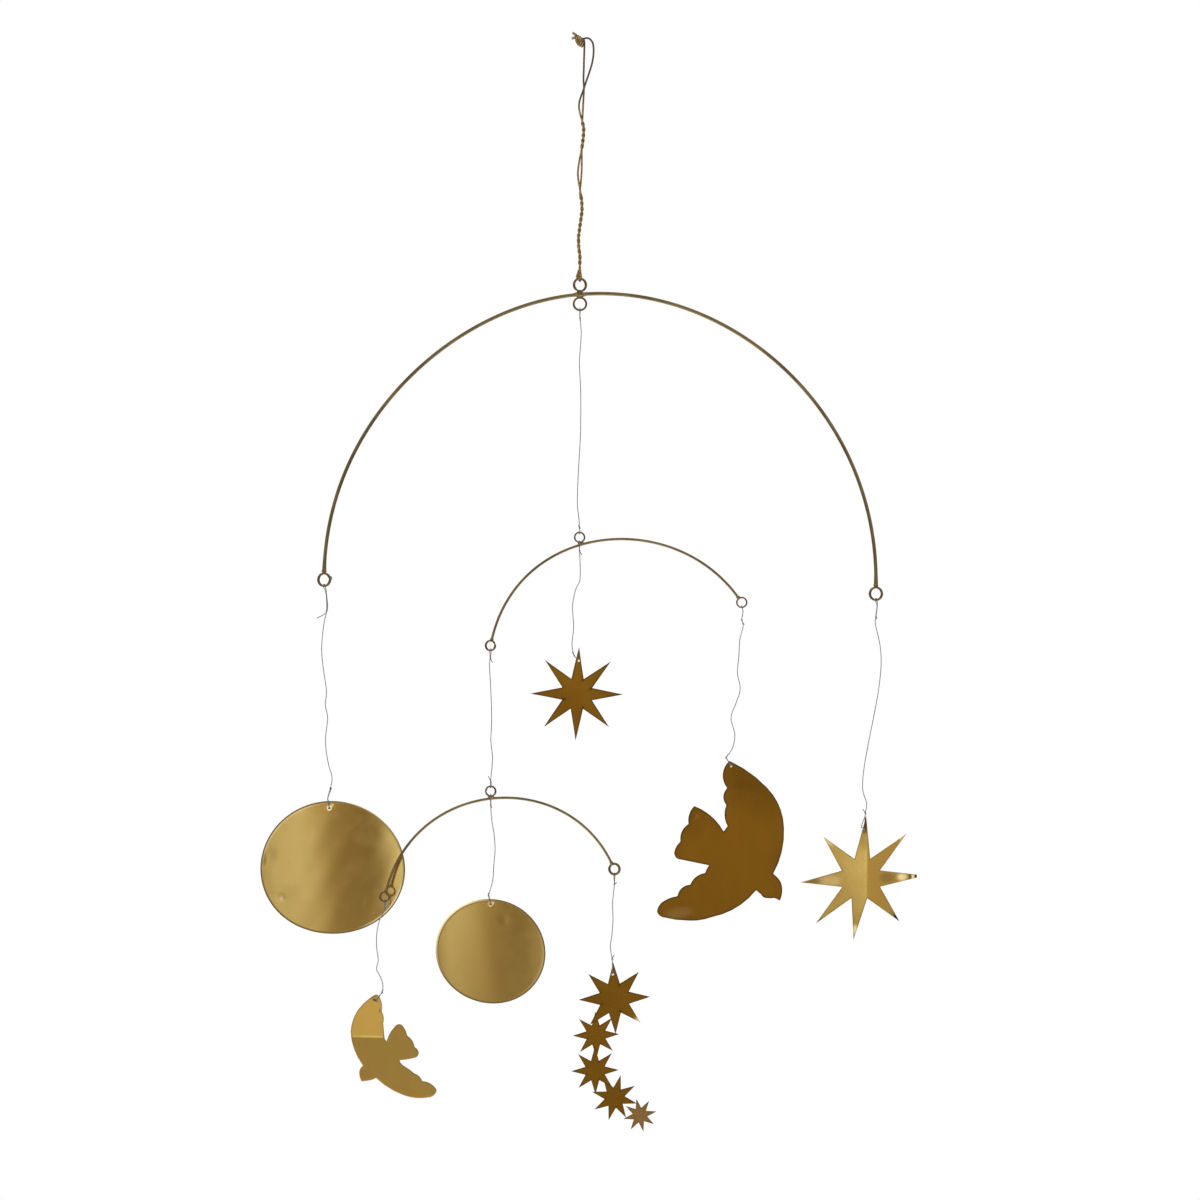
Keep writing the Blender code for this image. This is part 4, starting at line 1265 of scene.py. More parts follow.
@dataclass(frozen=True)
class PaintedEdgeLine:
    """A painted line along part of a disc's rolled edge: painted shade where it is dark and a painted
    highlight where it is pale, signed as a painted patch is.
    """

    turn: float
    spread: float
    inset: float
    width: float
    strength: float

    def cover(self, flat: Rows, distance: Rows) -> Rows:
        """Strength of the line at each place.

        Args:
            flat: Places as (x, z) rows.
            distance: Distance of each to the edge.

        Returns:
            One strength for each row.
        """
        middle = flat.mean(axis=0)
        bearing = np.degrees(np.arctan2(flat[:, 1] - middle[1], flat[:, 0] - middle[0]))
        away = (bearing - self.turn + 180.0) % 360.0 - 180.0
        near = np.exp(-(((distance - self.inset) / self.width) ** 4))
        return self.strength * near * np.exp(-((away / self.spread) ** 4))


def store_painted_light(mesh: Mesh, painted_shade: Rows, covers: Sequence[Rows], layers: int) -> None:
    """Store the painted shade of a sheet in one attribute and its painted highlights in another.

    Args:
        mesh: Mesh that holds layers copies of the points, one after another.
        painted_shade: Strength of the painted shade at each point, along the cut edge and round the hole or
            the ray tips.
        covers: Signed strengths of the painted patches and edge lines at each point: painted shade where
            positive, painted highlight where negative.
        layers: How often the points repeat in the mesh.
    """
    dark, painted_highlight = painted_shade, np.zeros(len(painted_shade))
    for cover in covers:
        dark = np.maximum(dark, cover)
        painted_highlight = np.maximum(painted_highlight, -cover)
    for label, values in (("painted_shade", dark * (1.0 - painted_highlight)), ("painted_highlight", painted_highlight)):
        layer = mesh.attributes.new(label, "FLOAT", "POINT")
        layer.data.foreach_set("value", np.tile(values, layers).astype(np.float32))


ROLL_WIDTH = 0.7  # width and depth of an edge that shears have rolled back
ROLL_BACK = 0.03
BURR_REACH = 1.0  # middle and half width of the lip that punching leaves
BURR_WIDTH = 0.32
FOLD_BLUR = np.array([-0.6, -0.3, 0.0, 0.3, 0.6])  # heights over which a fold is rounded
SHORTEST_SIDE = 1e-6


@dataclass(frozen=True)
class Spots:
    """Places on a flat sheet: across, up, and the distance from its cut edge."""

    x: Rows
    z: Rows
    edge: Rows

    def dent(self, x: float, z: float, depth: float, reach: float) -> Rows:
        """Depth of a round dent, or of a bump where depth is negative."""
        return depth * np.exp(-(((self.x - x) ** 2 + (self.z - z) ** 2) / reach**2))

    def wave(self, height: float, span: float, lean: float, start: float) -> Rows:
        """Depth of long soft waves across the sheet."""
        return height * np.sin(2.0 * pi * (self.x + lean * self.z + start) / span)

    def burr(self, height: float) -> Rows:
        """Depth of the lip that punching raises round the thread hole, to the viewer."""
        return -height * np.exp(-(((np.hypot(self.x, self.z) - BURR_REACH) / BURR_WIDTH) ** 2))

    def rolled_edge(self) -> Rows:
        """Depth of the edge that shears have rolled back a little."""
        return ROLL_BACK * np.clip(1.0 - self.edge / ROLL_WIDTH, 0.0, 1.0) ** 2


@dataclass
class Sheet:
    """A pendant cut from sheet: its outline, hole and relief as one thick mesh."""

    outline: Route
    relief: Callable[[Spots], Rows]
    # Painted patches and painted edge lines, then the strength of the painted highlight on the lip that
    # punching leaves round the hole.
    marks: tuple[PaintedPatch, ...] = ()
    lines: tuple[PaintedEdgeLine, ...] = ()
    lip: float = 0.0
    pitch: float = 1.2  # side of the triangles
    row: float = 0.866  # height of an even triangle on a side of 1
    margin: float = 0.4  # share of the pitch kept clear of the finer points
    hole_sides: int = 24
    hole_steps: tuple[float, ...] = (0.9, 1.12, 1.35, 1.65, 2.2)
    edge_steps: tuple[float, ...] = (0.35, 0.8)
    hole_shade: Point = (0.9, 0.15)  # strength and width of the painted shade round the hole
    lip_place: Point = (0.5, 0.38)  # middle and half width of the painted highlight on the lip round it
    reach: float = 0.02  # step over which the slope is read
    ring_clear: float = 0.3  # least distance of the points round the hole from the edge
    inset_step: float = 0.8  # share of the pitch between the points inside the edge
    inset_kept: float = 0.9  # share of their inset that they keep at a corner
    hole_kept: float = 0.97  # share of the hole's radius inside which no triangle stays
    merge: float = 1e-5  # points closer than this become one

    def mesh(self, name: str, shade_width: float, shade_strength: float) -> Mesh:
        """Make the mesh, in metres, in the pendant's own frame.

        Args:
            name: Name of the mesh.
            shade_width: Width of the painted shade along the edge.
            shade_strength: Strength of the painted shade along the edge, from 0 to 1.

        Returns:
            A closed mesh whose attributes hold the painted shade, strongest at the cut edge and round the
            hole, and the painted highlights.
        """
        corners = np.array([tuple(point) for point in self.outline])
        (x, z), (next_x, next_z) = corners.T, np.roll(corners, -1, axis=0).T
        if np.sum(x * next_z - next_x * z) < 0.0:
            corners = corners[::-1]
        hole = self._circle(STOCK.hole)
        flat, triangles = self._triangulate(corners, hole)
        front, back = self._faces_of_sheet(flat, corners)
        count = len(flat)
        edges = self._open_edges(triangles)
        faces = list(triangles)
        faces += [(c + count, b + count, a + count) for a, b, c in triangles]
        faces += [(b, a, a + count, b + count) for a, b in edges]
        mesh = bpy.data.meshes.new(name)
        mesh.from_pydata((np.vstack([front, back]) * MM).tolist(), [], faces)
        away = distance_to(corners, flat)
        # Painted shade: a dark band along the cut edge and a dark ring round the hole.
        painted_shade = shade_strength * np.exp(-((away / shade_width) ** 2))
        near_hole = np.linalg.norm(flat, axis=1) - STOCK.hole
        painted_shade = np.maximum(painted_shade, self.hole_shade[0] * np.exp(-((near_hole / self.hole_shade[1]) ** 2)))
        covers = [mark.cover(flat) for mark in self.marks]
        covers += [line.cover(flat, away) for line in self.lines]
        # Painted highlight on the lip round the hole.
        lip = (near_hole - self.lip_place[0]) / self.lip_place[1]
        covers.append(-self.lip * np.exp(-(lip**4)))
        store_painted_light(mesh, painted_shade, covers, 2)
        mesh.validate()
        return mesh

    def _circle(self, radius: float) -> Rows:
        """Points on a circle round the hole's centre."""
        turns = 2.0 * pi * (np.arange(self.hole_sides) + 0.5) / self.hole_sides
        return np.stack([np.cos(turns), np.sin(turns)], axis=1) * radius

    def _triangulate(self, corners: Rows, hole: Rows) -> tuple[Rows, list]:
        """Fill the outline with small even triangles, closer together at the hole and the edge.

        Args:
            corners: The outline, counterclockwise.
            hole: The thread hole's corners.

        Returns:
            The points as (x, z) rows, and the triangles.
        """
        low, high = corners.min(axis=0), corners.max(axis=0)
        grid = []
        rows = int((high[1] - low[1]) / (self.pitch * self.row)) + 1
        for row in range(rows):
            shift = self.pitch * 0.5 * (row % 2)
            xs = np.arange(low[0] + shift, high[0], self.pitch)
            level = low[1] + row * self.pitch * self.row
            grid.append(np.stack([xs, np.full(len(xs), level)], axis=1))
        points = np.vstack(grid)
        clear = max(self.edge_steps) + self.margin * self.pitch
        far_from_hole = np.linalg.norm(points, axis=1) > self.hole_steps[-1] + self.margin * self.pitch
        points = points[inside(corners, points) & (distance_to(corners, points) > clear) & far_from_hole]
        rings = np.vstack([self._circle(radius) for radius in self.hole_steps])
        kept = inside(corners, rings) & (distance_to(corners, rings) > self.ring_clear)
        extra = [points, rings[kept]]
        for step in self.edge_steps:
            extra.append(self._inset(corners, step))
        every = np.vstack([corners, hole, *extra])
        count, sides = len(corners), len(hole)
        loops = [list(range(count))]
        edges = [(count + i, count + (i + 1) % sides) for i in range(sides)]
        found = delaunay_2d_cdt([Vector(p) for p in every.tolist()], edges, loops, 1, self.merge, False)
        flat = np.array([tuple(v) for v in found[0]])
        triangles = [tuple(face) for face in found[2]]
        middles = np.array([flat[list(face)].mean(axis=0) for face in triangles])
        clear = np.linalg.norm(middles, axis=1) > STOCK.hole * self.hole_kept
        solid = inside(corners, middles) & clear
        return flat, [face for face, stays in zip(triangles, solid) if stays]

    def _inset(self, corners: Rows, step: float) -> Rows:
        """Points a little inside the outline, spaced along it.

        Args:
            corners: The outline, counterclockwise.
            step: Distance from the outline.

        Returns:
            The points that lie that far in.
        """
        made = []
        for start, end in zip(corners, np.roll(corners, -1, axis=0)):
            side = end - start
            length = float(np.hypot(*side))
            if length < SHORTEST_SIDE:
                continue
            inward = np.array([-side[1], side[0]]) / length
            parts = max(1, round(length / (self.pitch * self.inset_step)))
            made += [start + side * (i + 0.5) / parts + inward * step for i in range(parts)]
        points = np.array(made)
        return points[inside(corners, points) & (distance_to(corners, points) > step * self.inset_kept)]

    def _faces_of_sheet(self, flat: Rows, corners: Rows) -> tuple[Rows, Rows]:
        """Front and back of the sheet, half a gauge either side of its middle surface.

        Args:
            flat: Points of the flat sheet.
            corners: The outline.

        Returns:
            The front's points and the back's, as (x, y, z) rows.
        """
        slopes = []
        for step in ((self.reach, 0.0), (0.0, self.reach)):
            ahead, behind = self._depth(flat + step, corners), self._depth(flat - step, corners)
            slopes.append((ahead - behind) / (2 * self.reach))
        normal = np.stack([-slopes[0], np.ones(len(flat)), -slopes[1]], axis=1)
        normal /= np.linalg.norm(normal, axis=1)[:, None]
        middle = np.stack([flat[:, 0], self._depth(flat, corners), flat[:, 1]], axis=1)
        return middle - normal * STOCK.sheet / 2, middle + normal * STOCK.sheet / 2

    def _depth(self, points: Rows, corners: Rows) -> Rows:
        """Depth of the middle surface at flat points."""
        return self.relief(Spots(points[:, 0], points[:, 1], distance_to(corners, points)))

    @staticmethod
    def _open_edges(triangles: list) -> list[tuple[int, int]]:
        """Edges that only one triangle uses, in that triangle's direction."""
        seen = dict.fromkeys(edge for a, b, c in triangles for edge in ((a, b), (b, c), (c, a)))
        return [edge for edge in seen if edge[::-1] not in seen]


class Pendant:
    """What the discs, the birds and the right star share: a sheet that is cut and hung."""

    name: str
    hanger: Hanger
    slot: Slot
    look: Look
    painted_shade: Point  # width and strength of the painted shade along the cut edge

    def relief(self, at: Spots) -> Rows:
        """Depth of the sheet's middle surface at each place."""
        raise NotImplementedError

    def sheet(self) -> Sheet:
        """The pendant's outline, relief and painted patches."""
        raise NotImplementedError

    def build(self, shop: Workshop) -> None:
        """Cut the sheet, hang it and hand it over.

        Args:
            shop: Materials and recipes.
        """
        label = self.name + "_sheet"
        piece = new_object(label, self.sheet().mesh(label, *self.painted_shade))
        piece.data.materials.append(shop.materials[self.look])
        self.hanger.settle(piece)
        shop.hand_over(piece, self.slot, self.name, smooth_below=50.0)


@dataclass
class Disc(Pendant):
    """A hand-cut disc, bowed so that its left and right edges go back."""

    name: str
    hanger: Hanger
    look: Look
    centre: Point
    radius: float
    stretch: Point  # rise of the radius along its longer axis, and its turn
    lump: Point  # the same for its threefold unevenness
    bow: float
    waves: tuple[Quad, ...]
    dents: tuple[Quad, ...]
    # Painted patches and painted edge lines: shade and highlights of the dents, the burr and the rolled
    # edge.
    marks: tuple[PaintedPatch, ...]
    lines: tuple[PaintedEdgeLine, ...]
    burr: float = 0.35
    # Strength of the painted highlight on the punched lip.
    lip: float = 0.85
    sides: int = 180
    slot: Slot = Slot.DISC
    # Width and strength of the painted shade along the cut edge.
    painted_shade: Point = (0.75, 0.95)

    def outline(self) -> list[Vector]:
        """The disc's edge: a circle with a longer axis and a threefold unevenness.

        Returns:
            The outline's points.
        """
        points = []
        for i in range(self.sides):
            angle = 2.0 * pi * i / self.sides
            reach = self.radius
            for times, (rise, turn) in ((2.0, self.stretch), (3.0, self.lump)):
                reach += rise * cos(times * (angle - radians(turn)))
            points.append(Vector(self.centre) + Vector((cos(angle), sin(angle))) * reach)
        return points

    def relief(self, at: Spots) -> Rows:
        """Depth of the disc's middle surface at each place.

        Args:
            at: Places on the flat sheet.

        Returns:
            The depth at each place.
        """
        depth = self.bow * ((at.x - self.centre[0]) / (self.radius + self.stretch[0])) ** 2
        for wave in self.waves:
            depth = depth + at.wave(*wave)
        for dent in self.dents:
            depth = depth + at.dent(*dent)
        return depth + at.rolled_edge() + at.burr(self.burr)

    def sheet(self) -> Sheet:
        """The disc's outline, relief, painted patches and painted edge lines, with points close together at
        its edge.
        """
        steps = (0.3, 0.65, 1.0, 1.4, 1.9)
        return Sheet(self.outline(), self.relief, self.marks, self.lines, self.lip, edge_steps=steps)


@dataclass
class Bird(Pendant):
    """A bird with scalloped wings and tail, cut from flat sheet."""

    name: str
    hanger: Hanger
    slot: Slot
    look: Look
    corners: tuple[Triple, ...]
    fold: tuple[Point, ...]  # (height, depth) down the bird
    waves: tuple[Quad, ...]
    # Painted patches.
    marks: tuple[PaintedPatch, ...]
    # Width and strength of the painted shade along the cut edge.
    painted_shade: Point
    fold_end: float = 1000.0  # the fold stops at this place across the bird
    arc_step: float = 10.0  # degrees of turn for each side of a scallop
    rounding: float = 0.8  # about how far from a corner it is filed round
    burr: float = 0.18

    def relief(self, at: Spots) -> Rows:
        """Depth of the bird's middle surface at each place.

        Args:
            at: Places on the flat sheet.

        Returns:
            The depth at each place.
        """
        heights, depths = zip(*reversed(self.fold))
        depth = np.mean([np.interp(at.z + shift, heights, depths) for shift in FOLD_BLUR], axis=0)
        slope = (depths[1] - depths[0]) / (heights[1] - heights[0])
        flat = depths[0] + slope * (at.z - heights[0])
        depth = np.where((at.x > self.fold_end) & (at.z > heights[1]), flat, depth)
        for wave in self.waves:
            depth = depth + at.wave(*wave)
        return depth + at.rolled_edge() + at.burr(self.burr)

    def sheet(self) -> Sheet:
        """The bird's outline, with its corners filed round, its relief and its painted patches."""
        outline = eased(arc_outline(self.corners, self.arc_step), self.rounding)
        return Sheet(outline, self.relief, self.marks, pitch=0.9)


@dataclass
class RightStar(Pendant):
    """The bright star whose ray tips have been bent out of its plane."""

    hanger: Hanger
    name: str = "right_star"
    slot: Slot = Slot.BRIGHT
    look: Look = Look.BRIGHT
    # Width and strength of the painted shade along the cut edge.
    painted_shade: Point = (0.3, 0.6)
    centre: Point = (-2.1, -30.7)
    rays: tuple[Point, ...] = (
        (4.7, 39.0), (45.0, 39.7), (87.6, 34.4), (138.2, 35.6),
        (187.0, 37.9), (224.7, 39.9), (265.7, 37.4), (317.9, 34.8),
    )
    inner: float = 12.8
    notches: tuple[tuple[int, float], ...] = ((0, 0.8), (4, 0.7))
    curls: tuple[tuple[int, float, float], ...] = (
        (2, 24.0, 3.2), (3, 27.0, 2.0), (4, 28.0, -1.8), (1, 30.0, -1.0))
    ridge: Point = (1.6, 0.026)
    ridge_ease: float = 0.8
    ripple: Triple = (0.012, 0.16, 0.09)
    blunt: tuple[int, float] = (2, 0.95)
    burr: float = 0.15
    # Painted reflections of the bent rays and tips: dark bands, a white gap and black, dark or pale tips;
    # painted shade on the top and left rays and by the hole; painted highlights on the upper tips and left
    # of the middle.
    marks: tuple[PaintedPatch, ...] = (
        PaintedPatch(0.4, 3.6, 0.85, 6.4, 3.0, 90.0), PaintedPatch(-1.6, -0.6, 0.7, 1.0, 1.3),
        PaintedPatch(31.9, -29.2, 1.0, 1.3, 2.2), PaintedPatch(29.9, -29.4, -1.0, 0.9, 2.2),
        PaintedPatch(28.0, -29.4, 0.75, 0.9, 2.4), PaintedPatch(23.4, -29.5, -0.75, 3.4, 2.4),
        PaintedPatch(14.0, -30.0, 0.35, 5.0, 3.5),
        PaintedPatch(20.4, -55.4, 1.3, 3.4, 2.4, -48.0), PaintedPatch(-6.2, -62.6, -0.95, 2.6, 2.0, 90.0),
        PaintedPatch(-6.6, -67.0, 1.3, 1.6, 1.6), PaintedPatch(-28.6, -57.4, 0.6, 2.6, 2.4),
        PaintedPatch(-31.5, -32.6, 0.45, 5.5, 2.4), PaintedPatch(24.3, -4.0, -0.5, 4.0, 1.6, 45.0),
        PaintedPatch(-23.0, -7.2, -0.45, 4.6, 1.6, -45.0),
        PaintedPatch(-21.5, -32.4, -0.25, 7.0, 3.5), PaintedPatch(0.6, -6.0, 0.14, 6.5, 4.0, 90.0),
    )

    def relief(self, at: Spots) -> Rows:
        """Depth of the star's middle surface at each place.

        Args:
            at: Places on the flat sheet.

        Returns:
            The depth at each place.
        """
        across, rise = at.x - self.centre[0], at.z - self.centre[1]
        depth = self.ridge[1] * (np.hypot(at.x - self.ridge[0], self.ridge_ease) - 6.0)
        height, per_x, per_z = self.ripple
        depth = depth + height * np.sin(per_x * across + per_z * rise)
        for ray, start, lift in self.curls:
            turn, length = self.rays[ray]
            way = (sin(radians(turn)), cos(radians(turn)))
            reach = across * way[0] + rise * way[1]
            beside = np.abs(across * way[1] - rise * way[0])
            share = np.clip((reach - start) / (length - start), 0.0, 1.2)
            depth = depth + np.where(beside < length - start, lift * share**2, 0.0)
        return depth + at.burr(self.burr)

    def sheet(self) -> Sheet:
        """The star's outline, with two notches cut further and a ray cut blunt.

        Returns:
            The sheet.
        """
        outline = star_outline(self.centre, self.rays, self.inner)
        for notch, further in self.notches:
            corner = outline[2 * notch + 1]
            corner += (corner - Vector(self.centre)).normalized() * further
        ray, half = 2 * self.blunt[0], Vector((0.0, self.blunt[1]))
        outline[ray:ray + 1] = [outline[ray] + half, outline[ray] - half]
        near = (0.9, 1.12, 1.35)
        return Sheet(outline, self.relief, self.marks, pitch=0.7, edge_steps=(0.3,), hole_steps=near)


@dataclass
class EvenStar:
    """An even eight-pointed star, alone or one of the soldered chain."""

    node: str
    hanger: Hanger
    centre: Point
    radius: float
    inner: float
    turn: float
    with_hole: bool
    layer: int = 0
    dish: float = 0.25
    curls: tuple[tuple[int, float, float], ...] = ()
    rays: tuple[Point, ...] = ()
    # Painted patches.
    marks: tuple[PaintedPatch, ...] = ()
    painted_shade: Point = (0.45, 0.9)  # width and strength of the painted shade along the cut edge
    tips: Point = (0.86, 0.55)  # share of a ray where its painted tip shade starts, and its strength
    stretch_from: float = 0.5  # share of the notches' distance inside which nothing is stretched

    def build(self, shop: Workshop) -> None:
        """Make the star, paint its shade and patches, bend it and hang it.

        Args:
            shop: Materials and recipes.
        """
        hole = Matrix.Rotation(radians(self.turn), 2) @ -Vector(self.centre) * MM
        values = {
            "Outer Radius": self.radius * MM, "Inner Radius": self.inner * MM,
            "Gauge": STOCK.sheet * MM, "Dish": -self.dish * MM,
            "Hole Radius": STOCK.hole * MM if self.with_hole else 0.0, "Hole Place": (*hole, 0.0),
        }
        base = bpy.data.meshes.new(self.node)
        piece = shop.star.make(self.node + "_sheet", base, shop.materials[Look.DARK], values)
        self._paint_shade(piece.data)
        self._bend_tips(piece.data)
        self._reach_out(piece.data)
        depth = self.layer * (STOCK.sheet + STOCK.gap) + STOCK.sheet / 2
        stand = Matrix.Rotation(pi / 2, 4, "X")
        spin = Matrix.Rotation(radians(self.turn), 4, "Y")
        shift = Matrix.Translation(Vector((self.centre[0], depth, self.centre[1])) * MM)
        self.hanger.settle(piece, shift @ spin @ stand)
        shop.hand_over(piece, Slot.DARK, self.node, smooth_below=50.0)

    def _bend_tips(self, mesh: Mesh) -> None:
        """Bend ray tips towards the viewer, or away from them where the lift is negative.

        Args:
            mesh: The star's mesh, in its own frame.
        """
        for ray, start, lift in self.curls:
            angle = radians(90.0 - 45.0 * ray)
            way = Vector((cos(angle), sin(angle)))
            for corner in mesh.vertices:
                reach = corner.co.xy.dot(way) / MM
                if reach > start:
                    corner.co.z += lift * MM * ((reach - start) / (self.radius - start)) ** 2

    def _reach_out(self, mesh: Mesh) -> None:
        """Turn and stretch each ray to its own heading and length, where they are given.

        Args:
            mesh: The star's mesh, in its own frame.
        """
        if not self.rays:
            return
        low = self.inner * self.stretch_from
        for corner in mesh.vertices:
            reach = corner.co.xy.length / MM
            bearing = degrees(atan2(corner.co.x, corner.co.y))
            number = round(bearing / 45.0)
            turn, length = self.rays[number % 8]
            share = min(max((reach - low) / (self.radius - low), 0.0), 1.0)
            bearing += share * (turn - self.turn - 45.0 * (number % 8))
            reach *= (1.0 + share * (length / self.radius - 1.0)) * MM
            angle = radians(bearing)
            corner.co.xy = (sin(angle) * reach, cos(angle) * reach)

    def _paint_shade(self, mesh: Mesh) -> None:
        """Store the painted shade along the cut edge and towards the ray tips, and the star's painted
        patches.

        Args:
            mesh: The star's mesh, in its own frame.
        """
        rays = [(45.0 * i, self.radius) for i in range(8)]
        outline = star_outline((0.0, 0.0), rays, self.inner)
        corners = np.array([tuple(point) for point in outline])
        flat = np.array([tuple(corner.co.xy / MM) for corner in mesh.vertices])
        # Painted shade along the cut edge and towards the ray tips.
        painted_shade = self.painted_shade[1] * np.exp(-((distance_to(corners, flat) / self.painted_shade[0]) ** 2))
        start, strength = self.tips
        share = np.linalg.norm(flat, axis=1) / self.radius
        tips = strength * np.clip((share - start) / (1.0 - start), 0.0, 1.0)
        store_painted_light(mesh, np.maximum(painted_shade, tips), [mark.cover(flat) for mark in self.marks], 1)


# ---- threads ----


NECK_FROM = 6.5  # a knot further than this from its ring draws the thread in to a neck
NECK_SHARE = 0.3  # how far along the neck stands, and how far it leans
NECK_LEAN = Vector((0.8, 0.0, 0.0))
KNOT_WAYS = ((0.15, 0.1, 1.0), (-0.2, 0.1, 1.0))  # how the two knots of a thread lean
RIM_CLEAR = 0.2  # how far beyond the rim the thread leaves the sheet
HOLE_TURN = ((1.2, 0.9), (0.35, 0.55))  # (reach, depth) of the thread between rim and hole


def turn_round_wire(wire: Vector, size: Point, side: Vector, knot: Vector) -> list[Vector]:
    """Thread points from one side of a knot, round a ring's winding, to its other side.

    Args:
        wire: Middle of the winding, above or below the knot.
        size: Half the turn's width, and its height.
        side: Unit vector to the side that the turn starts from.
        knot: Middle of the knot.

    Returns:
        The points.
    """
    way = UP if wire.z > knot.z else -UP
    loose = side * STOCK.thread_strand
    turn = [knot + loose, *half_turn(wire, size, side, way), knot - loose]
    if (wire - knot).length > NECK_FROM:
        neck = wire + (knot - wire) * NECK_SHARE + NECK_LEAN
        turn[1:1], turn[-1:-1] = [neck + loose], [neck - loose]
    return turn


def turn_through_hole(hanger: Hanger, edge: float, knot: Vector, swing: float) -> list[Vector]:
    """Thread points from the knot's front, through a pendant's hole, to the knot's back.

    Args:
        hanger: The pendant's hanger, at its hole.
        edge: How far the sheet's rim is from the hole on the way to the knot.
        knot: Middle of the knot.
        swing: How far to one side the front of the turn swings out.

    Returns:
        The points.
    """
    way = (knot - hanger.place).normalized()
    profile = ((edge + RIM_CLEAR, STOCK.sheet / 2 + STOCK.gap + STOCK.thread), *HOLE_TURN)
    front = [hanger.place + way * reach - hanger.across * depth for reach, depth in profile]
    front[1] += Vector((swing, 0.0, 0.0))
    back = [hanger.place + way * reach + hanger.across * depth for reach, depth in profile]
    start = knot - hanger.across * STOCK.thread_strand
    end = knot + hanger.across * STOCK.thread_strand
    return [start, *front, hanger.place.copy(), *reversed(back), end]


THREAD_PLIES = {"Plies": 2, "Ply Radius": 0.0002, "Ply Offset": 0.00011, "Pitch": 0.003, "Sides": 6}
THREAD_KNOT = {"Wraps": 3.0, "Knot Radius": 0.00034, "Knot Length": 0.0011, "Strand Radius": 0.0002}
CORD_PLIES = {"Plies": 3, "Ply Radius": 0.0004, "Ply Offset": 0.00025, "Pitch": 0.0028, "Sides": 8}
KNOT_PLIES = {**CORD_PLIES, "Ply Radius": 0.00038}
LOOSE_PLIES = {**KNOT_PLIES, "Ply Offset": 0.00048}


@dataclass
class Thread:
    """A thread from a ring down to a pendant's hole or to the ring of a lower arm."""

    name: str
    ring: Ring
    drop: float
    wander: tuple[Point, ...]
    tags: tuple[Triple, Triple]  # from each knot's strand to the thread's cut end
    hanger: Hanger | None = None
    knot: Point = (0.0, 0.0)
    edge: float = 0.0
    arm_ring: Ring | None = None
    lift: float = 0.0
    bundled: bool = False
    swing: float = 0.0
    bow: float = 0.0
    arm_knot: float = 3.0  # height of a knot above an arm's ring
    step: float = 1.6

    def route(self) -> tuple[list[Vector], list[Vector]]:
        """The thread's curve and the middles of its two knots.

        Returns:
            The curve's points, and the knots' middles.
        """
        upper_knot = self.ring.foot + upright(self.bow, -self.drop)
        size = self.ring.turn_size(STOCK.thread)
        upper = turn_round_wire(self.ring.foot, size, self.ring.across, upper_knot)
        if self.arm_ring is not None:
            lower_knot = self.arm_ring.top + UP * self.arm_knot
            size = self.arm_ring.turn_size(STOCK.thread)
            lower = turn_round_wire(self.arm_ring.top, size, -self.arm_ring.across, lower_knot)
        else:
            lower_knot = self.hanger.place + upright(*self.knot)
            lower = turn_through_hole(self.hanger, self.edge, lower_knot, self.swing)
        start, end = upper[-1], lower[0]
        free = []
        for x, z in self.wander:
            share = (start.z - z) / (start.z - end.z)
            free.append(Vector((x, start.y + (end.y - start.y) * share, z)))
        tag_up, tag_down = (Vector(tag) for tag in self.tags)
        route = [upper[0] + tag_up, *upper, *free, *lower, lower[-1] + tag_down]
        return smooth_route(route, self.step), [upper_knot, lower_knot]

    def build(self, shop: Workshop) -> None:
        """Args:
            shop: Materials and recipes.
        """
        line, knots = self.route()
        piece = shop.lay(self.name + "_twine", line, Look.THREAD, THREAD_PLIES)
        shop.hand_over(piece, Slot.THREAD, self.name)
        if self.lift:
            level = knots[-1].z + self.lift
            knots[-1] = min(line[:len(line) * 9 // 10], key=lambda spot: abs(spot.z - level))
        turns = list(KNOT_WAYS)
        if self.bundled:
            knots.append(self.hanger.place)
            turns.append(tuple(self.hanger.across))
        points = bpy.data.meshes.new(self.name)
        points.from_pydata([tuple(knot * MM) for knot in knots], [], [])
        ways = points.attributes.new("way", "FLOAT_VECTOR", "POINT")
        ways.data.foreach_set("vector", [value for turn in turns for value in turn])
        shape = {**THREAD_KNOT, "Seed": len(self.name)}
        material = shop.materials[Look.THREAD_KNOT]
        knot_piece = shop.knots.make(self.name + "_knots", points, material, shape)
        shop.hand_over(knot_piece, Slot.THREAD)


# ---- hanging cord ----


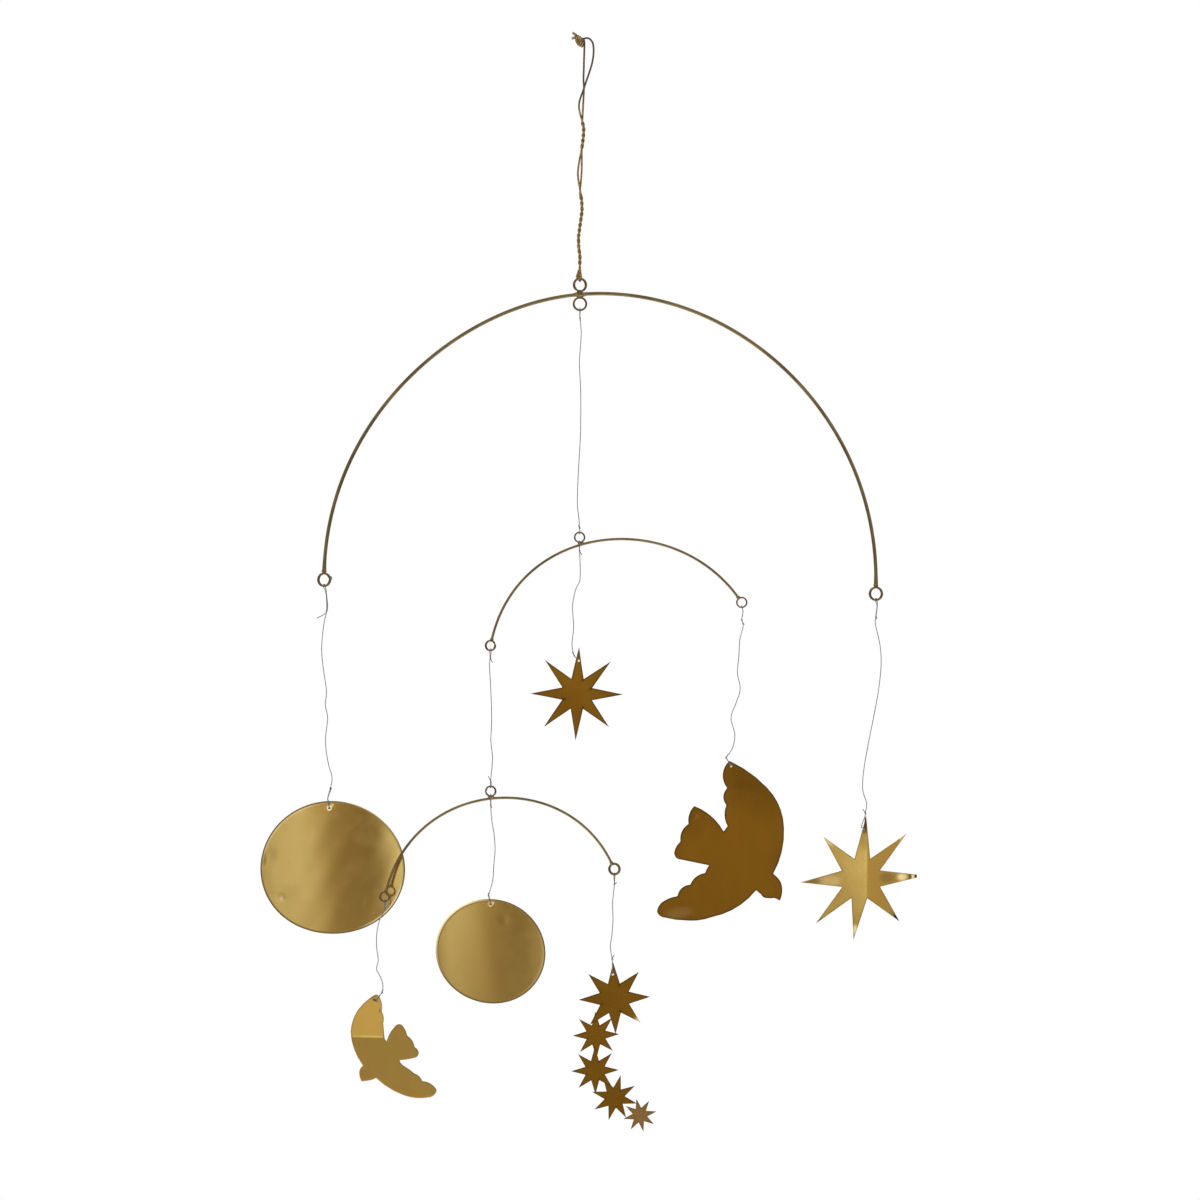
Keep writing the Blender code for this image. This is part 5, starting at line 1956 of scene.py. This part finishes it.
@dataclass
class HangingCord:
    """The doubled gold cord: twisted strands, the knot that closes it and its hitch."""

    ring: Ring
    axis: tuple[Point, ...] = (
        (-29.8, -2.2), (-40.3, -4.0), (-49.0, -3.6), (-54.6, -2.3), (-60.1, -2.6), (-65.1, -3.2),
        (-70.1, -4.0), (-81.8, -4.8), (-93.0, -4.6), (-99.8, -3.6), (-106.0, -3.4), (-111.0, -4.1),
        (-115.9, -4.8), (-122.1, -5.6), (-128.3, -5.5), (-133.9, -4.7), (-139.5, -4.8),
    )
    runs: tuple[tuple[float, float, int, float], ...] = (
        (-29.8, -29.8, 0, 1.4), (-40.3, -40.3, 0, 2.6), (-50.5, -67.5, 10, 1.15),
        (-81.8, -81.8, 0, 2.3), (-93.0, -93.0, 0, 1.3), (-98.0, -139.5, 25, 1.15),
    )
    left: tuple[Point, ...] = (
        (-2.3, 0.6), (-1.9, -1.4), (-1.9, -4.9), (-2.1, -10.0), (-2.3, -18.5), (-2.5, -25.0),
    )
    right: tuple[Point, ...] = (
        (-0.6, -25.0), (1.2, -19.8), (3.0, -13.6), (3.8, -7.4), (3.4, -2.3), (1.6, 0.6),
        (-0.4, 1.3), (-2.2, 0.9), (-4.2, 0.4),
    )
    step: float = 1.2
    knot_start: Point = (-2.2, -4.2)
    knot_end: Point = (-7.9, 3.3)
    knot_turns: float = 6.5
    knot_steps: int = 200
    knot_slope: float = 0.5
    knot_part: Point = (0.04, 0.9)  # where along its line the knot's winding starts, and its share
    knot_core: Triple = (0.12, 0.5, 0.9)  # places of the cord on its way back through the knot
    hitch_foot: Triple = (-0.6, 0.0, -0.9)
    hitch_height: float = 5.6
    hitch_turns: float = 5.5
    hitch_slope: float = 0.45
    hitch_steps: int = 160
    knot_profile: tuple[Point, ...] = (  # share along it, and its radius to the cord's middle
        (0.0, 0.28), (0.2, 1.58), (0.45, 2.18), (0.7, 1.78), (0.9, 0.98), (1.0, 0.38),
    )
    hitch_profile: tuple[Point, ...] = (
        (0.0, 1.0), (0.25, 1.55), (0.5, 1.4), (0.75, 0.85), (1.0, 0.45),
    )
    tails: tuple[tuple[Point, Point], ...] = (((-6.2, 2.0), (-9.2, 4.4)), ((-6.0, 1.2), (-9.6, 1.0)))
    tail_bend: Triple = (0.0, -0.4, 0.3)
    tail_step: float = 0.5

    def strand(self, phase: float) -> list[Vector]:
        """Points of one strand down the twisted pair.

        Args:
            phase: Turn of the strand round the pair's axis, in degrees.

        Returns:
            The points, from the top.
        """
        heights, middles = zip(*reversed(self.axis))
        points = []
        turn = phase
        for first, last, quarters, gap in self.runs:
            steps = max(1, 2 * quarters)
            for i in range(2 * quarters + 1):
                angle = radians(turn + 45.0 * i)
                height = first + (last - first) * i / steps
                across = float(np.interp(height, heights, middles)) + cos(angle) * gap / 2
                points.append(Vector((across, sin(angle) * gap / 2, height)))
            turn += 90.0 * (quarters + 1)
        return points

    def route(self) -> list[Vector]:
        """The whole cord: down from the knot, through the ring and back up.

        Returns:
            The cord's points.
        """
        depth = self.runs[0][3] / 2
        left = [Vector((x, -depth * i / len(self.left), z)) for i, (x, z) in enumerate(self.left)]
        count = len(self.right)
        right = [Vector((x, depth * (count - 1 - i) / count, z)) for i, (x, z) in enumerate(self.right)]
        loop = half_turn(self.ring.top, self.ring.turn_size(STOCK.cord), -self.ring.across, -UP)
        route = [*left, *self.strand(-90.0), *loop, *reversed(self.strand(90.0)), *right]
        return smooth_route(route, self.step)

    @staticmethod
    def winding(profile: tuple[Point, ...], turns: float, steps: int, slope: float) -> list[tuple]:
        """Offsets of a cord that winds round an axis.

        Args:
            profile: (share along the axis, radius) of the winding.
            turns: How many turns it has.
            steps: How many steps it is read in.
            slope: How far each turn leans.

        Returns:
            (share along the axis, offset) at each step.
        """
        made = []
        for i in range(steps + 1):
            angle = 2.0 * pi * turns * i / steps
            radius = float(np.interp(i / steps, *zip(*profile)))
            made.append((i / steps, Vector((cos(angle) * radius, sin(angle) * radius, slope * sin(angle)))))
        return made

    def knot_wraps(self) -> list[Vector]:
        """Line of the cord as it winds closely round the knot, and back down its middle.

        Returns:
            The points.
        """
        start, end = upright(*self.knot_start), upright(*self.knot_end)
        frame = (end - start).to_track_quat("Z", "Y").to_matrix()
        wraps = self.winding(self.knot_profile, self.knot_turns, self.knot_steps, self.knot_slope)
        first, part = self.knot_part
        line = [start.lerp(end, first + part * share) + frame @ offset for share, offset in wraps]
        return line + [end.lerp(start, share) for share in self.knot_core]

    def hitch_wraps(self) -> list[Vector]:
        """Line of the cord as it winds round itself above the hanging ring.

        Returns:
            The points.
        """
        foot = self.ring.top + Vector(self.hitch_foot)
        wraps = self.winding(self.hitch_profile, self.hitch_turns, self.hitch_steps, self.hitch_slope)
        return [foot + offset + UP * self.hitch_height * share for share, offset in wraps]

    def build(self, shop: Workshop) -> None:
        """Make the cord, its knot, its hitch and its cut ends.

        Args:
            shop: Materials and recipes.
        """
        line = self.route()
        cord = shop.lay("hanging_cord_yarn", line, Look.CORD, CORD_PLIES)
        shop.hand_over(cord, Slot.CORD, "hanging_cord")
        knot = shop.lay("cord_knot_wraps", self.knot_wraps(), Look.KNOT, KNOT_PLIES)
        shop.hand_over(knot, Slot.CORD, "cord_knot")
        hitch = shop.lay("cord_hitch_wraps", self.hitch_wraps(), Look.KNOT, KNOT_PLIES)
        shop.hand_over(hitch, Slot.CORD)
        for number, (root, tip) in enumerate(self.tails, start=1):
            start, end = upright(*root), upright(*tip)
            middle = (start + end) / 2 + Vector(self.tail_bend)
            bent = smooth_route([start, middle, end], self.tail_step)
            tail = shop.lay(f"cord_end_{number}", bent, Look.FRAYED, LOOSE_PLIES)
            shop.hand_over(tail, Slot.CORD)


# ---- studio ----


@dataclass
class SoftBox:
    """A large soft light aimed at the mobile."""

    name: str
    place: Triple
    width: float
    height: float
    power: float
    aim: Triple = (0.0, 0.0, -0.35)

    def build(self) -> None:
        """Add the light, in metres."""
        light = bpy.data.lights.new(self.name, "AREA")
        light.shape = "RECTANGLE"
        light.size = self.width
        light.size_y = self.height
        light.energy = self.power
        item = new_object(self.name, light)
        item.location = self.place
        item.rotation_euler = (Vector(self.aim) - Vector(self.place)).to_track_quat("-Z", "Y").to_euler()
        item.visible_camera = False
        item.visible_glossy = False


@dataclass
class Studio:
    """Camera, soft lights, white surroundings and a plain pale floor, in metres."""

    camera_place: Triple = (0.00775, -1.7567, -0.3472)
    lens: float = 85.0
    sensor: float = 36.0
    floor_level: float = -1.25
    floor_size: float = 2.4
    floor_colour: Triple = (0.9, 0.9, 0.89)
    floor_roughness: float = 0.8
    room: tuple[Point, ...] = (  # degrees from the front, and the room's brightness there
        (-75.0, 0.42), (-45.0, 0.42), (-28.0, 0.24), (-22.0, 0.24), (-20.3, 0.30), (-19.2, 1.00),
        (-17.2, 0.92), (-15.0, 0.70), (-13.7, 0.52), (-13.3, 0.29), (-11.5, 0.19), (-9.2, 0.17),
        (-8.5, 0.30), (-7.9, 0.84), (-6.9, 1.00), (-5.4, 0.99), (-4.6, 0.52), (-3.2, 0.46), (0.0, 0.46),
        (5.5, 0.66), (8.5, 0.48), (12.0, 0.47), (24.0, 0.36), (45.0, 0.40), (75.0, 0.42),
    )
    room_green: Point = (0.75, 0.56)  # the room's green and blue share of red, and
    room_blue: Point = (0.15, 1.95)  # how much of each more brightness adds
    room_low: Triple = (0.35, 0.385, 0.47)
    room_high: Triple = (0.60, 0.66, 0.78)
    low_band: Point = (-10.0, -4.8)  # degrees of height between which the room changes
    high_band: Point = (-1.5, 7.0)

    def build_camera(self) -> None:
        """Add the camera, level and square to the mobile."""
        camera = bpy.data.cameras.new("camera")
        camera.lens = self.lens
        camera.sensor_width = self.sensor
        item = new_object("camera", camera)
        item.location = self.camera_place
        item.rotation_euler = (pi / 2, 0.0, 0.0)
        bpy.context.scene.camera = item

    def build_surroundings(self) -> None:
        """White behind the mobile, and a soft room for the metal to reflect."""
        world = bpy.data.worlds.new("soft_room")
        bpy.context.scene.world = world
        world.use_nodes = True
        nodes = Nodes(world.node_tree)
        background = world.node_tree.nodes["Background"]
        way = nodes.add("ShaderNodeTexCoord").outputs["Generated"]
        parts = nodes.add("ShaderNodeSeparateXYZ", {"Vector": way}).outputs
        front = nodes.math("MULTIPLY", parts["Y"], -1.0)
        turn = nodes.math("MULTIPLY", nodes.math("ARCTAN2", parts["X"], front), degrees(1.0))
        rise = nodes.math("MULTIPLY", nodes.math("ARCSINE", parts["Z"]), degrees(1.0))
        edge = self.room[-1][0]
        share = nodes.out("ShaderNodeMapRange", {"Value": turn, "From Min": -edge, "From Max": edge})
        ramp = nodes.add("ShaderNodeValToRGB", {"Fac": share})
        stops = ramp.color_ramp.elements
        while len(stops) < len(self.room):
            stops.new(0.5)
        (green, more_green), (blue, more_blue) = self.room_green, self.room_blue
        for stop, (azimuth, bright) in zip(stops, self.room):
            stop.position = (azimuth + edge) / (2.0 * edge)
            tint = (1.0, green + more_green * bright, blue + more_blue * bright)
            stop.color = opaque(tuple(bright * share for share in tint))
        below = nodes.ranged(rise, *self.low_band, 1.0, 0.0)
        low = nodes.mixed(below, ramp.outputs["Color"], opaque(self.room_low))
        high = nodes.mixed(nodes.ranged(rise, *self.high_band), low, opaque(self.room_high))
        seen = nodes.add("ShaderNodeLightPath").outputs["Is Camera Ray"]
        nodes.join(nodes.mixed(seen, high, (1.0, 1.0, 1.0, 1.0)), background.inputs["Color"])

    def build_floor(self) -> None:
        """A plain pale floor, well below the mobile."""
        half = self.floor_size / 2
        mesh = bpy.data.meshes.new("floor")
        around = ((-half, -half), (half, -half), (half, half), (-half, half))
        mesh.from_pydata([(x, y, self.floor_level) for x, y in around], [], [(0, 1, 2, 3)])
        material = bpy.data.materials.new("pale_floor")
        material.use_nodes = True
        shader = material.node_tree.nodes["Principled BSDF"]
        shader.inputs["Base Color"].default_value = opaque(self.floor_colour)
        shader.inputs["Roughness"].default_value = self.floor_roughness
        mesh.materials.append(material)
        floor = new_object("floor", mesh)

    def build(self) -> None:
        """Add everything round the mobile."""
        self.build_camera()
        self.build_surroundings()
        self.build_floor()
        SoftBox("key_softbox", (-1.9, -1.5, 1.1), 1.2, 1.4, 80.0).build()
        SoftBox("fill_softbox", (1.6, -1.5, 0.1), 0.9, 1.2, 16.0).build()
        SoftBox("back_softbox", (0.6, 1.8, 0.4), 1.2, 1.2, 14.0).build()
        bpy.context.scene.view_settings.view_transform = "Standard"


# ---- the mobile ----


class Mobile:
    """The whole mobile, piece by piece."""

    LARGE_BIRD = (
        (-1.0, 3.4, 1.4), (22.6, -13.5, 2.6), (33.1, -38.6, 2.1),
        (26.3, -67.1, 0.5), (31.2, -72.5, 1.2), (30.4, -83.9, -0.2), (27.1, -82.1, 0.2),
        (21.8, -82.1, 0.6), (18.7, -79.6, 0.2), (15.7, -77.1, 2.9), (-12.2, -93.7, 0.7),
        (-25.8, -95.8, 0.6), (-43.2, -93.4, 0.5), (-46.3, -90.0, 1.0), (-41.6, -83.3, 0.5),
        (-33.5, -80.6, 2.0), (-25.5, -73.5, 1.7), (-16.2, -66.3, 0.3), (-13.7, -61.5, 0.0),
        (-33.2, -57.4, 0.9), (-35.4, -52.8, 0.6), (-31.6, -46.6, 1.9), (-26.6, -35.8, 1.5),
        (-23.0, -24.6, 2.2), (-4.6, -40.7, 0.2), (-2.1, -37.3, 1.6), (-2.9, -24.1, 2.2),
        (-2.4, -13.6, 3.5),
    )
    SMALL_BIRD = (
        (1.1, 2.9, 0.2), (-1.0, 3.1, 0.6), (-11.0, -5.8, 1.0), (-15.4, -19.0, 1.7),
        (-7.9, -40.2, 0.6), (-10.4, -44.6, 0.4), (-8.9, -50.1, -0.1), (-3.2, -49.1, 0.2),
        (0.0, -47.6, 1.1), (16.8, -58.0, 1.1), (32.3, -59.2, 1.2), (37.6, -54.6, 1.5),
        (28.6, -49.2, 0.9), (23.9, -44.5, 0.2), (17.9, -40.2, -0.5), (14.7, -36.4, 0.3),
        (25.0, -34.5, 0.6), (26.8, -31.0, 0.4), (24.3, -28.1, 1.0), (19.8, -21.1, 0.7),
        (16.2, -14.2, 0.5), (12.7, -15.0, 0.7), (6.9, -24.9, 0.1), (5.8, -23.5, 0.2),
        (4.6, -14.0, 0.8), (3.4, -6.9, 1.1),
    )
    CENTRE_RAYS = (
        (2.4, 29.1), (46.2, 28.8), (90.8, 28.5), (136.2, 28.5),
        (182.0, 28.9), (225.2, 29.2), (270.4, 29.0), (316.5, 29.0),
    )
    CHAIN = (  # place, radius, turn, layer, dish and painted patches of each star
        # Painted highlight on a tip of the first star, painted shade over the third and fourth, and a
        # painted lighter tone over the fifth.
        (1.0, -15.0, 22.4, -1.9, 0, 0.12, (PaintedPatch(14.5, -14.5, -0.7, 2.4, 1.6, -45.0),)),
        (-10.5, -37.9, 14.6, -1.4, 1, 0.12, ()),
        (-11.1, -60.1, 14.9, -0.8, 0, 0.12, (PaintedPatch(0.0, 0.0, 0.16, 12.0, 12.0),)),
        (1.2, -77.3, 14.5, 15.2, 1, 0.12, (PaintedPatch(0.0, 0.0, 0.14, 12.0, 12.0),)),
        (17.0, -88.3, 10.55, -11.9, 0, -0.03, (PaintedPatch(0.0, 0.0, -0.13, 10.0, 10.0),)),
    )
    CHAIN_NOTCH = 0.44  # share of a chain star's radius where its notches are

    def __init__(self) -> None:
        """Describe the arms and the hangers of the pendants."""
        self.top = TopArm()
        self.middle = SideArm(
            "middle_arm", Vector((-5.1, 0.0, -308.6)), 3.0,
            ((-54.2, -63.1), (-37.5, 9.9), (58.4, 19.0), (98.9, -37.0)), 0.435,
            {"hanging": (SIDE_WINDING, 3.0, 260.0), "left": (SIDE_WINDING, -18.0, 30.0),
             "right": (SIDE_WINDING, -3.0, 120.0)},
        )
        left = self.middle.rings["left"].centre
        self.lower = SideArm(
            "lower_arm", Vector((left.x, left.y, -466.1)), 14.0,
            ((-65.2, -59.6), (-48.0, 9.7), (47.8, 14.9), (77.3, -45.6)), 0.495,
            {"hanging": (SIDE_WINDING, -8.0, 200.0), "left": ((3.4, 0.55, 1.05), -10.0, 60.0),
             "right": ((4.0, 0.55, 1.05), -15.0, 150.0, 0.72)},
        )
        self.large_disc = Hanger(upright(-160.1, -476.2), -4.0)
        self.small_disc = Hanger(self.lower.rings["hanging"].centre - UP * 69.9, -6.25)
        self.centre_star = Hanger(upright(-5.8, -385.0), 3.0)
        self.right_star = Hanger(upright(171.7, -489.2), -5.0)
        self.large_bird = Hanger(Vector((89.3, 5.2, -450.6)), 4.0)
        self.small_bird = Hanger(self.lower.rings["left"].centre + upright(-5.2, -63.2), -6.5)
        self.star_chain = Hanger(self.lower.rings["right"].centre + upright(-1.0, -65.9), 4.0)

    def build_cords(self, shop: Workshop) -> None:
        """Make the hanging cord and the nine threads.

        Args:
            shop: Materials and recipes.
        """
        top, middle, lower = self.top.rings, self.middle.rings, self.lower.rings
        HangingCord(top["hanging"]).build(shop)
        for thread in (
            Thread(
                "middle_arm_thread", top["lower"], 5.0,
                ((-3.9, -181.7), (-4.4, -190.3), (-5.0, -200.9), (-4.2, -219.5), (-4.4, -244.9),
                 (-5.6, -266.6), (-6.3, -286.4), (-5.4, -296.0)),
                ((0.5, 0.4, -1.4), (-0.8, 0.5, 1.6)), arm_ring=middle["hanging"],
            ),
            Thread(
                "lower_arm_thread", middle["left"], 5.0,
                ((-60.7, -386.9), (-60.0, -399.3), (-59.5, -411.1), (-59.3, -422.8),
                 (-59.8, -434.0), (-58.8, -445.2)),
                ((1.2, 0.5, -2.5), (-1.6, 0.6, 3.2)), arm_ring=lower["hanging"],
            ),
            Thread(
                "centre_star_thread", middle["hanging"], 5.4,
                ((-4.5, -327.4), (-4.8, -335.4), (-7.0, -339.8), (-8.6, -346.0), (-9.3, -352.2),
                 (-8.6, -363.9), (-9.6, -373.9), (-9.0, -379.2)),
                ((1.5, 0.4, -2.5), (-1.2, 0.6, 2.4)), hanger=self.centre_star, knot=(-2.5, 3.4), edge=2.4,
            ),
            Thread(
                "large_disc_thread", top["left"], 15.5,
                ((-163.6, -363.3), (-164.8, -378.2), (-163.4, -392.5), (-161.8, -403.6),
                 (-162.5, -412.3), (-161.1, -420.4), (-162.4, -432.8), (-161.8, -442.1),
                 (-160.3, -450.1), (-158.3, -458.5)),
                ((-6.4, 0.6, -4.6), (2.3, 0.8, 6.4)), hanger=self.large_disc, knot=(-1.0, 6.1), edge=4.6,
                lift=5.9, bundled=True, bow=1.6,
            ),
            Thread(
                "right_star_thread", top["right"], 10.5,
                ((178.6, -362.6), (181.3, -375.1), (182.0, -387.5), (180.4, -403.0), (177.5, -419.1),
                 (173.9, -437.1), (171.2, -453.2), (170.6, -464.6), (173.0, -473.2)),
                ((0.6, 0.4, -1.4), (-1.6, 0.7, 2.2)), hanger=self.right_star, knot=(0.6, 10.0), edge=8.2,
                bundled=True, swing=-2.1,
            ),
            Thread(
                "large_bird_thread", middle["right"], 8.0,
                ((96.8, -363.3), (94.7, -372.0), (94.1, -381.9), (93.2, -392.5), (94.9, -402.4),
                 (92.4, -411.1), (89.2, -420.4), (91.6, -430.9), (90.0, -439.5)),
                ((1.6, 0.5, -2.8), (1.5, 0.6, 2.2)), hanger=self.large_bird, knot=(-3.1, 5.4), edge=4.3,
            ),
            Thread(
                "small_disc_thread", lower["hanging"], 5.4,
                ((-59.2, -483.6), (-57.8, -492.3), (-57.2, -501.6), (-58.0, -511.5), (-58.7, -521.0)),
                ((0.6, 0.5, -2.0), (-0.4, 0.4, 1.6)), hanger=self.small_disc, knot=(-1.3, 5.3), edge=3.6,
                bundled=True,
            ),
            Thread(
                "small_bird_thread", lower["left"], 5.0,
                ((-127.4, -543.5), (-129.2, -552.1), (-129.1, -561.3), (-128.2, -568.1),
                 (-129.3, -573.6), (-127.1, -577.9), (-125.4, -583.0)),
                ((-1.6, 0.4, -3.0), (0.5, 0.4, 1.6)), hanger=self.small_bird, knot=(3.6, 4.7), edge=4.1,
                bundled=True,
            ),
            Thread(
                "star_chain_thread", lower["right"], 6.0,
                ((16.2, -530.7), (15.5, -537.5), (15.9, -546.2), (15.2, -556.8), (14.2, -564.0)),
                ((1.6, 0.3, 1.0), (1.3, 0.6, 2.2)), hanger=self.star_chain, knot=(-0.4, 9.8), edge=8.0,
            ),
        ):
            thread.build(shop)

    def build_pendants(self, shop: Workshop) -> None:
        """Make the discs, stars and birds.

        Args:
            shop: Materials and recipes.
        """
        Disc(
            "large_disc", self.large_disc, Look.DISC, (1.9, -37.1), 43.2, (2.04, 0.0), (0.35, -28.5), 1.05,
            waves=((0.022, 46.0, 0.22, 4.0), (0.007, 19.0, -0.6, 10.0)),
            dents=((-29.9, -55.8, 0.06, 2.0), (-38.0, -30.0, 0.05, 5.0)),
            # A dark streak at the left, painted highlights on the lower dent and the burr, and painted
            # highlight lines along the rolled edge.
            marks=(PaintedPatch(-41.2, -31.5, 0.30, 4.5, 1.8, 90.0), PaintedPatch(-29.9, -55.8, -0.2, 1.3, 1.6),
                   PaintedPatch(1.7, 1.7, -0.7, 1.3, 0.8, 55.0)),
            lines=(PaintedEdgeLine(50.0, 34.0, 0.0, 0.35, -0.6), PaintedEdgeLine(-38.0, 24.0, 1.1, 0.35, -0.8),
                   PaintedEdgeLine(140.0, 40.0, 1.2, 0.4, -0.35)),
        ).build(shop)
        Disc(
            "small_disc", self.small_disc, Look.SMALL_DISC, (-0.2, -29.2), 33.3, (1.1, -13.0),
            (0.12, -52.0), 0.72,
            waves=((0.33, 210.0, 0.0, 0.0), (0.008, 24.0, 0.3, 6.0)),
            dents=((8.6, -9.6, 0.05, 2.6),),
            # Painted highlight on the burr; a painted highlight along the upper left rim with painted shade
            # just inside it, and a faint painted highlight at the right.
            marks=(PaintedPatch(1.4, 0.7, -0.6, 1.0, 0.8, 60.0),),
            lines=(PaintedEdgeLine(146.0, 50.0, 0.0, 1.0, -0.95), PaintedEdgeLine(146.0, 54.0, 1.45, 0.3, 0.6),
                   PaintedEdgeLine(-20.0, 40.0, 1.3, 0.6, -0.2)),
            burr=0.2, lip=0.45,
        ).build(shop)
        RightStar(self.right_star).build(shop)
        Bird(
            "large_bird", self.large_bird, Slot.DARK, Look.DARK, self.LARGE_BIRD, ((4.0, 0.0), (-98.0, 0.0)),
            ((0.12, 90.0, 0.5, 20.0), (0.02, 16.0, 0.3, 3.0)),
            # Two thin pale crossed lines, a painted highlight at the tail tip and painted shade over the
            # upper right.
            marks=(PaintedPatch(-21.5, -31.4, -0.08, 3.0, 0.5, 60.0), PaintedPatch(-21.0, -31.0, -0.07, 2.6, 0.5, -50.0),
                   PaintedPatch(-33.0, -91.0, -0.08, 9.0, 3.5, 10.0), PaintedPatch(16.0, -14.0, 0.2, 22.0, 15.0, -50.0)),
            painted_shade=(0.65, 0.9),
        ).build(shop)
        Bird(
            "small_bird", self.small_bird, Slot.BRIGHT, Look.BRIGHT, self.SMALL_BIRD,
            ((4.0, 0.93), (-22.0, -3.07), (-27.0, -2.93), (-62.0, 0.37)), ((0.06, 40.0, 0.3, 0.0),),
            # Darker round the thread hole and at the lower left.
            marks=(PaintedPatch(-1.0, 0.0, 0.9, 1.7, 0.6), PaintedPatch(-2.6, 1.4, 0.8, 2.4, 0.4, 25.0),
                   PaintedPatch(0.4, 2.4, 0.3, 3.0, 1.0), PaintedPatch(2.4, -6.6, 0.5, 1.2, 0.6, 60.0),
                   PaintedPatch(-7.0, -46.4, 0.28, 4.2, 3.4)),
            painted_shade=(0.4, 0.65), fold_end=8.0,
        ).build(shop)
        EvenStar(
            "centre_star", self.centre_star, (-0.6, -20.4), 28.85, 10.0, 1.2, True, rays=self.CENTRE_RAYS,
        ).build(shop)
        for number, (x, z, radius, turn, layer, dish, marks) in enumerate(self.CHAIN, start=1):
            EvenStar(
                f"chain_star_{number}", self.star_chain, (x, z), radius, radius * self.CHAIN_NOTCH, turn,
                number == 1, layer=layer, dish=dish, curls=((3, 15.0, 1.2),) if number == 1 else (),
                marks=marks,
            ).build(shop)


def main() -> None:
    """Build the studio and the mobile."""
    logging.basicConfig(level=logging.INFO, format="%(name)s: %(message)s")
    LOG.info("the frame has %d solids", len(frame["nodes"]))
    Studio().build()
    shop = Workshop()
    mobile = Mobile()
    mobile.build_cords(shop)
    for arm in (mobile.top, mobile.middle, mobile.lower):
        arm.build(shop)
    mobile.build_pendants(shop)


if __name__ == "__main__":
    main()
